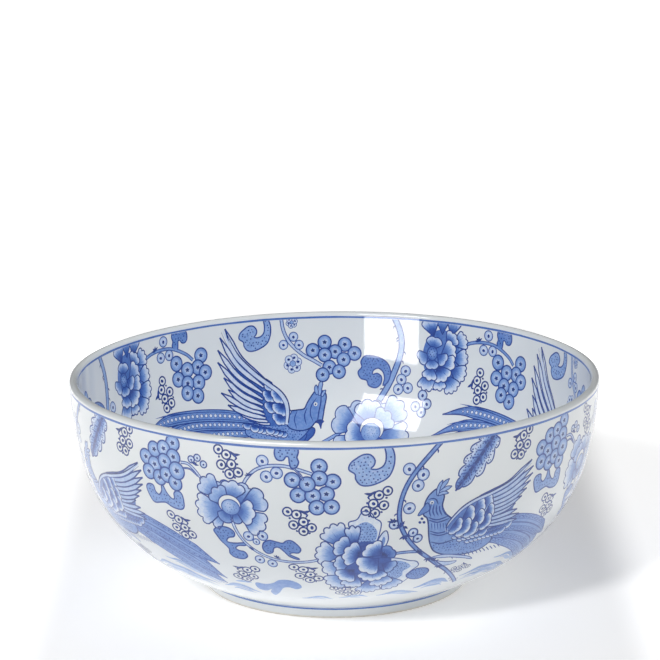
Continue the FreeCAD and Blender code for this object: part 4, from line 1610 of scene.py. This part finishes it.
# %% The cobalt finishes
COBALT = ((0.0, "#DAE1E9"), (0.12, "#BBCBE6"), (0.3, "#87A6D8"), (0.5, "#5D83C5"), (0.72, "#345CAC"),
          (0.88, "#1E3F90"), (1.0, "#122B69"))
BRUSH = 5.5   # mm across the clouds that a brush leaves in a wash


def cobalt_material(name, grain, strength, even=None):
    """Cobalt under the glaze. The tone is the print's, or even for a banded line."""
    material, tree, shader, here = new_material(name)
    print_tone = add(tree, "ShaderNodeAttribute", {"attribute_name": "tone"}).outputs["Fac"]
    fine = add(tree, "ShaderNodeTexNoise", Vector=here, Scale=1 / (grain * MM), Detail=4.0, Roughness=0.7)
    broad = add(tree, "ShaderNodeTexNoise", Vector=here, Scale=1 / (BRUSH * MM), Detail=2.0)
    both = add(tree, "ShaderNodeMath", {"operation": "MULTIPLY_ADD"}, in_0=broad.outputs["Fac"],
               in_1=0.6, in_2=fine.outputs["Fac"])
    speckle = add(tree, "ShaderNodeMapRange", Value=both.outputs[0], From_Min=0.4, From_Max=1.2,
                  To_Min=-strength, To_Max=strength)
    density = add(tree, "ShaderNodeMath", {"operation": "ADD", "use_clamp": True},
                  in_0=print_tone if even is None else even, in_1=speckle.outputs[0])
    blue = add(tree, "ShaderNodeValToRGB", {"stops": COBALT}, Fac=density.outputs[0])
    tree.links.new(blue.outputs["Color"], shader.inputs["Base Color"])
    glass_coat(shader)
    return material


WASH_FINISH = cobalt_material("cobalt wash", 1.8, 0.14)
LINE_FINISH = cobalt_material("cobalt line", 1.1, 0.12)
BAND_FINISH = cobalt_material("cobalt band", 1.6, 0.16, even=0.6)
print("cobalt ramp", len(COBALT), "stops")


# %% [markdown]
# ## Bare clay
#
# The potter wipes the glaze off the ring the bowl stands on, or it would fuse to the kiln shelf. The
# fired clay there is dry and chalky, a little warmer than the glazed wall, with a fine tooth.


# %% The biscuit finish
STAIN, GRIT = 3, 0.8   # mm across a stain, and a grain drawn coarse enough to show


def biscuit_material():
    """Bare fired porcelain: matt, slightly warm, with a fine grit."""
    material, tree, shader, here = new_material("bare biscuit porcelain")
    patches = add(tree, "ShaderNodeTexNoise", Vector=here, Scale=1 / (STAIN * MM), Detail=6.0,
                  Roughness=0.7)
    tint = add(tree, "ShaderNodeValToRGB", {"stops": ((0.3, "#CFCBC2"), (0.7, "#E2DFD8"))},
               Fac=patches.outputs["Fac"])
    tree.links.new(tint.outputs["Color"], shader.inputs["Base Color"])
    shader.inputs["Roughness"].default_value = 0.85
    tooth = add(tree, "ShaderNodeTexNoise", Vector=here, Scale=1 / (GRIT * MM), Detail=4.0)
    grit = add(tree, "ShaderNodeBump", Strength=0.25, Distance=0.0002, Height=tooth.outputs["Fac"])
    tree.links.new(grit.outputs[0], shader.inputs["Normal"])
    return material


BISCUIT_FINISH = biscuit_material()
print("finishes", [finish.name for finish in (GLAZE_FINISH, WASH_FINISH, LINE_FINISH, BAND_FINISH,
        BISCUIT_FINISH)])


# %% [markdown]
# ## The glaze skin
#
# The skin is the bowl's finished surface, turned from the wall's curve: up the side of the foot, up
# the outside, over the rounded lip, down the inside and level across the floor.


# %% Turn the skin
SPOKES = 384                    # steps round the bowl
UP_GAP, DOWN_GAP = 1.6, 1.8     # mm between rings on the outside and on the inside
LIP_STEPS, FOOT_STEPS = 14, 5   # rings over the lip and up the side of the foot


def thinned(curve, gap):
    """The curve with points about gap mm apart."""
    depth = depth_along(curve)
    at = np.linspace(0, depth[-1], max(2, int(depth[-1] / gap)))
    return np.stack([np.interp(at, depth, curve[:, k]) for k in (0, 1)], axis=1)


# %% The half section of the skin
def skin_section():
    """The half section, from the glaze's edge on the foot to the middle of the floor."""
    batter = (FOOT_TOP_RADIUS - FOOT_BOTTOM_RADIUS) / FOOT_HEIGHT
    edge_r = FOOT_BOTTOM_RADIUS + batter * BARE_HEIGHT
    foot = [(edge_r - GLAZE, BARE_HEIGHT), (edge_r - GLAZE * 0.25, BARE_HEIGHT),
            (edge_r, BARE_HEIGHT + GLAZE * 0.6)]
    foot += [(FOOT_BOTTOM_RADIUS + batter * z, z) for z in np.linspace(BARE_HEIGHT + 1,
            FOOT_HEIGHT - 0.05, FOOT_STEPS)]
    up = thinned(outside_curve, UP_GAP)[::-1]
    centre = np.array([RIM_RADIUS - LIP, HEIGHT - LIP])
    turn = np.radians(np.linspace(-RIM_LEAN, 180 - RIM_LEAN, LIP_STEPS))[1:-1]
    lip = centre + LIP * np.stack([np.cos(turn), np.sin(turn)], axis=1)
    return np.vstack([foot, up, lip, thinned(inside_curve, DOWN_GAP)])


print("the half section has", len(skin_section()), "points")


# %% The section turned round the axis
def turned_mesh(name, section):
    """The section turned round the axis: a grid that closes on itself and on the pole."""
    angles = np.linspace(0, 2 * math.pi, SPOKES, endpoint=False)
    rows = section[:-1]
    points = [(r * MM * math.sin(a), -r * MM * math.cos(a), z * MM) for r, z in rows for a in angles]
    points.append((0, 0, section[-1][1] * MM))
    faces, shares = [], []
    depth = depth_along(section) / depth_along(section)[-1]
    for row in range(len(rows) - 1):
        for k in range(SPOKES):
            after = (k + 1) % SPOKES
            faces.append((row * SPOKES + k, row * SPOKES + after, (row + 1) * SPOKES + after,
                          (row + 1) * SPOKES + k))
            shares += [(k / SPOKES, depth[row]), ((k + 1) / SPOKES, depth[row]), ((k + 1) / SPOKES,
                    depth[row + 1]), (k / SPOKES, depth[row + 1])]
    last = len(rows) - 1
    for k in range(SPOKES):
        faces.append((last * SPOKES + k, last * SPOKES + (k + 1) % SPOKES, len(points) - 1))
        shares += [(k / SPOKES, depth[last]), ((k + 1) / SPOKES, depth[last]), ((k + 0.5) / SPOKES, 1.0)]
    mesh = bpy.data.meshes.new(name)
    mesh.from_pydata(points, [], faces)
    mesh.uv_layers.new(name="OFBake").data.foreach_set("uv", np.array(shares).ravel())
    mesh.shade_smooth()
    return mesh


# %% The skin itself
skin_mesh = turned_mesh("glaze_skin", skin_section())
skin_mesh.materials.append(GLAZE_FINISH)
skin = bpy.data.objects.new("glaze_skin", skin_mesh)
bpy.context.collection.objects.link(skin)
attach(skin, "root")
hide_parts("glaze_coat")
print("glaze skin", len(skin_mesh.polygons), "faces")


# %% [markdown]
# ## The parts that keep their CAD shape
#
# The clay body, the foot ring, the glaze under the foot and the blue line round the foot are already
# right in the CAD model, so they only get their finishes. The clay shows at the bare ring that the
# bowl stands on; everywhere else it lies under the glaze.


# %% Finishes for the CAD nodes
for node, finish in (("porcelain_body", BISCUIT_FINISH), ("foot_ring", BISCUIT_FINISH),
        ("underside_glaze", GLAZE_FINISH), ("cobalt_foot_line", BAND_FINISH)):
    node_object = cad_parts[node]
    node_object.data.materials.clear()
    node_object.data.materials.append(finish)
    print(node, "has", finish.name)


# %% [markdown]
# ## Laying the sheets
#
# The outside takes four sheets, a quarter turn each. Each sheet gives two pieces, its washes and
# its lines, so that each keeps a crisp edge.


# %% Laying one sheet
LIFT = 0.035   # mm that the film stands off the skin


def lay_sheets(name, sheet, wall, turns, flip, lift, top=0.0):
    """The sheet's washes and lines on the wall, once at each turn, trimmed at its top."""
    made = []
    for kind, (points, faces, tones) in cut_sheet(sheet, top).items():
        finish = WASH_FINISH if kind == "wash" else LINE_FINISH
        for count, turn in enumerate(turns, start=1):
            flat = flat_mesh(f"{name}_{kind}_{count}", points, faces, tones, flip)
            piece = wrapped(f"{name}_{kind}_{count}", flat, wall, turn, lift, finish)
            made.append(piece)
        print(name, kind, len(faces), "triangles a sheet")
    return made


# %% Outside sheets
TRIM = 1.55   # mm below the lip, where the banded line hides the trimmed edge
lay_sheets("outside", OUTSIDE_SHEET, OUTSIDE_WALL, (0, 90, 180, 270), True, LIFT, TRIM)


# %% [markdown]
# ## The inside
#
# The inside sheet is printed at its own pitch, so four of them leave a gap of a few degrees on the
# near side, where the strip of fruit goes. The film lies towards the axis, so its lift is negative
# and its faces are the other way round.


# %% Inside sheets
INSIDE_MIDDLE, INSIDE_PITCH = 176, 86   # degrees: where one repeat stands, and the step to the next
turns = [INSIDE_MIDDLE + INSIDE_PITCH * k for k in range(-1, 3)]
lay_sheets("inside", INSIDE_SHEET, INSIDE_WALL, turns, False, -LIFT, TRIM)
gap_middle = (turns[0] + turns[-1] - 360) / 2 - 1
lay_sheets("inside_gap", STRIP, INSIDE_WALL, (gap_middle,), False, -LIFT, TRIM)


# %% [markdown]
# ## The floor of the bowl
#
# The round print is flat already. It is dropped straight down on to the inside, so that its edge
# follows the gentle curve where the floor begins to rise.


# %% The flower on the floor
def lay_medallion(name, sheet):
    """A sheet centred on the axis, dropped on to the inside of the bowl."""
    order = np.argsort(inside_curve[:, 0])
    for kind, (points, faces, tones) in cut_sheet(sheet, -RIM_RADIUS).items():
        flat = flat_mesh(f"{name}_{kind}", points, faces, tones, False)
        height = np.interp(np.hypot(*points.T), inside_curve[order, 0], inside_curve[order, 1]) + LIFT
        placed_points = np.stack([points[:, 0], points[:, 1], height], axis=1) * MM
        flat.vertices.foreach_set("co", placed_points.ravel())
        flat.shade_smooth()
        flat.materials.append(WASH_FINISH if kind == "wash" else LINE_FINISH)
        piece = bpy.data.objects.new(f"{name}_{kind}", flat)
        bpy.context.collection.objects.link(piece)
        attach(piece, "root")
        print(name, kind, len(faces), "triangles")


lay_medallion("floor_flower", FLOOR_PRINT)


# %% [markdown]
# ## Banded lines
#
# The last strokes are the blue lines round the lip, made with a loaded brush held still against the
# turning bowl. Their edges waver a little. They hide the trimmed tops of the sheets, and they stand
# in for the lines of the CAD model.


# %% Banded lines
BAND_POINTS, BAND_TONE = 721, 0.62   # points round the bowl, and how dark the line is


def band(depth, width, wobble=0.06):
    """One line round the wall, as a brush leaves it on a turning wheel."""
    sheet = Print()
    across = np.linspace(-math.pi, math.pi, BAND_POINTS) * RIM_RADIUS
    turn = across / RIM_RADIUS
    edge = wobble * np.sin(7 * turn) + wobble * np.sin(23 * turn + 1)
    top = np.stack([across, depth - width / 2 + edge], axis=1)
    bottom = np.stack([across, depth + width / 2 + 0.7 * edge[::-1]], axis=1)
    sheet.area(np.vstack([top, bottom[::-1]]), BAND_TONE, "line")
    return sheet


for name, depth, width, wall, flip, lift, node in (
        ("rim_band_outside", 0.9, 1.2, OUTSIDE_WALL, True, LIFT, "cobalt_rim_line_outside"),
        ("rim_band_inside", 0.8, 1.2, INSIDE_WALL, False, -LIFT, "cobalt_rim_line_inside")):
    piece = lay_sheets(name, band(depth, width), wall, (0,), flip, lift)[0]
    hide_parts(node)


# %% [markdown]
# ## The floor
#
# The bowl stands on white paper that sweeps away behind it and is lit so strongly that it prints as
# pure white; only the soft shadow beside the bowl stays grey. The paper also glows by itself, and that
# glow is painted light set by place: it is stronger away from the bowl and to either side of it, so the
# cast shadow fades out at its sides. It stands for the light that a real sweep gets from all round the
# studio.


# %% Floor
SIDE = 6.0                                   # m from the middle of the sweep to each edge
ASIDE_START, ASIDE_FULL = 0.150, 0.188       # m to either side of the bowl where the glow sets in
AWAY_START, AWAY_FULL = 0.3, 0.8             # m from the bowl all round, in the same way
GLOW_UNDER, GLOW_ASIDE, GLOW_AWAY = 0.37, 0.76, 0.46   # strength near, aside, and added far away

floor_mesh = bpy.data.meshes.new("floor")
floor_mesh.from_pydata([(-SIDE, -SIDE, 0), (SIDE, -SIDE, 0), (SIDE, SIDE, 0), (-SIDE, SIDE, 0)], [],
        [(0, 1, 2, 3)])
floor_finish, tree, shader, here = new_material("white paper sweep")
shader.inputs["Base Color"].default_value = colour("#E6E6E6")
shader.inputs["Roughness"].default_value = 0.9
shader.inputs["Specular IOR Level"].default_value = 0.1
across = add(tree, "ShaderNodeVectorMath", {"operation": "MULTIPLY"}, in_0=here, in_1=(1.0, 0.0, 0.0))
aside = add(tree, "ShaderNodeVectorMath", {"operation": "LENGTH"},
            in_0=across.outputs[0]).outputs["Value"]
away = add(tree, "ShaderNodeVectorMath", {"operation": "LENGTH"}, in_0=here).outputs["Value"]
# painted light: the floor glows more to either side of the bowl, which lightens the cast shadow there
painted_glow_aside = add(tree, "ShaderNodeMapRange", {"interpolation_type": "SMOOTHSTEP"}, Value=aside,
                From_Min=ASIDE_START, From_Max=ASIDE_FULL, To_Min=GLOW_UNDER,
                To_Max=GLOW_ASIDE).outputs[0]
# painted light: the floor's glow grows with distance from the bowl
painted_glow_away = add(tree, "ShaderNodeMapRange", {"interpolation_type": "SMOOTHSTEP"}, Value=away,
               From_Min=AWAY_START, From_Max=AWAY_FULL, To_Min=0.0, To_Max=GLOW_AWAY).outputs[0]
painted_floor_glow = add(tree, "ShaderNodeMath", {"operation": "ADD"}, in_0=painted_glow_aside, in_1=painted_glow_away)
shader.inputs["Emission Color"].default_value = (1, 1, 1, 1)
tree.links.new(painted_floor_glow.outputs[0], shader.inputs["Emission Strength"])
floor_mesh.materials.append(floor_finish)
floor = bpy.data.objects.new("floor", floor_mesh)
bpy.context.collection.objects.link(floor)
print("floor", SIDE * 2, "m wide")


# %% [markdown]
# ## The light
#
# One key light stands to the left front, so the right of the bowl and the left of its hollow fall
# into shade, and the shadow runs off to the right. A light on the floor only keeps the paper white,
# a weak one overhead and a small one over the hollow open up the inside, and two soft boxes that are
# seen only as reflections put the window and the small bright patch on the glaze.


# %% Places and soft boxes
ROOM, BRIGHT_SIDE = 0.17, 0.12   # strength of the room all round, and what its bright side adds


def direction(azimuth, elevation):
    """The way to something seen from the bowl: azimuth in degrees from the front, to the right."""
    a, e = math.radians(azimuth), math.radians(elevation)
    return Vector((math.sin(a) * math.cos(e), -math.cos(a) * math.cos(e), math.sin(e)))


def area_light(name, place, target, size, power, unseen=("glossy",)):
    """A rectangular soft box at a place, facing a target, and unseen by some kinds of ray."""
    light = bpy.data.lights.new(name, "AREA")
    light.shape = "RECTANGLE"
    light.size, light.size_y = size
    light.energy = power
    item = bpy.data.objects.new(name, light)
    item.location = place
    item.rotation_euler = (Vector(place) - Vector(target)).to_track_quat("Z", "Y").to_euler()
    bpy.context.collection.objects.link(item)
    for ray in unseen:
        setattr(item, "visible_" + ray, False)
    return item


print("straight ahead is", direction(0, 0)[:])


# %% The room's own light
world = bpy.data.worlds.new("studio")
world.use_nodes = True
tree = world.node_tree
way = add(tree, "ShaderNodeTexCoord").outputs["Generated"]
facing = add(tree, "ShaderNodeVectorMath", {"operation": "DOT_PRODUCT"}, in_0=way, in_1=direction(-32,
        46)).outputs["Value"]
lit_half = add(tree, "ShaderNodeMath", {"operation": "MAXIMUM"}, in_0=facing, in_1=0.0).outputs[0]
lobe = add(tree, "ShaderNodeMath", {"operation": "POWER", "use_clamp": True}, in_0=lit_half, in_1=1.6)
strength = add(tree, "ShaderNodeMath", {"operation": "MULTIPLY_ADD"}, in_0=lobe.outputs[0],
               in_1=BRIGHT_SIDE, in_2=ROOM)
tree.links.new(strength.outputs[0], tree.nodes["Background"].inputs["Strength"])
tree.nodes["Background"].inputs["Color"].default_value = (1, 1, 1, 1)
bpy.context.scene.world = world
print("room", ROOM, "and", BRIGHT_SIDE, "more on its bright side")


# %% The lights
MIRROR = Vector((0.036, 0.130, 0.062))   # the place on the back wall that mirrors the window
CARD_MIRROR = Vector((0.036, 0.140, 0.106))   # and the one that mirrors the small card
area_light("tall window", MIRROR + direction(-31, 33.5) * 2.0, MIRROR, (1.05, 0.86), 34,
           unseen=("diffuse",))
area_light("key", direction(-33, 34) * 2.4, (0, 0, 0.05), (0.5, 0.5), 6.0)
sweep_light = area_light("sweep light", direction(-33, 33) * 2.4, (0, 0, 0), (0.36, 0.36), 33)
top = area_light("top light", direction(-5, 66) * 1.4, (0, 0.03, 0.05), (0.5, 0.5), 6.6)
area_light("inner fill", (-0.05, -0.04, 0.17), (0.04, 0.13, 0.05), (0.10, 0.06), 0.13, unseen=("glossy",
        "camera"))
area_light("small card", (-0.076, -0.076, 0.097), CARD_MIRROR, (0.078, 0.029), 0.085, unseen=("camera",
        "diffuse"))


# %% What each of two lights falls on
only_floor = bpy.data.collections.new("lit by the sweep light")
only_floor.objects.link(floor)
sweep_light.light_linking.receiver_collection = only_floor
but_floor = bpy.data.collections.new("not lit by the top light")
but_floor.objects.link(floor)
but_floor.collection_objects[0].light_linking.link_state = "EXCLUDE"
top.light_linking.receiver_collection = but_floor


# %% [markdown]
# ## The camera
#
# A long lens about a metre and a half away looks a little down, so the bowl shows its side, the
# ellipse of its lip and the far half of its inside, with hardly any perspective.


# %% Camera
PITCH, YAW, ROLL = 13.468, 0.084, -0.487   # degrees: down, left, and round the line of sight
EYE = (0, -1.4656, 0.4963)                 # m
LENS, SENSOR = 145.42, 36.0                # mm
camera_data = bpy.data.cameras.new("camera")
camera_data.lens = LENS
camera_data.sensor_width = SENSOR
camera = bpy.data.objects.new("camera", camera_data)
bpy.context.collection.objects.link(camera)
aim = Matrix.Rotation(math.radians(YAW), 4, "Z") @ Matrix.Rotation(math.radians(90 - PITCH), 4, "X")
camera.matrix_world = Matrix.Translation(EYE) @ aim @ Matrix.Rotation(math.radians(ROLL), 4, "Z")
bpy.context.scene.camera = camera
bpy.context.scene.view_settings.view_transform = "Standard"

print("camera", round(camera_data.lens, 1), "mm lens")
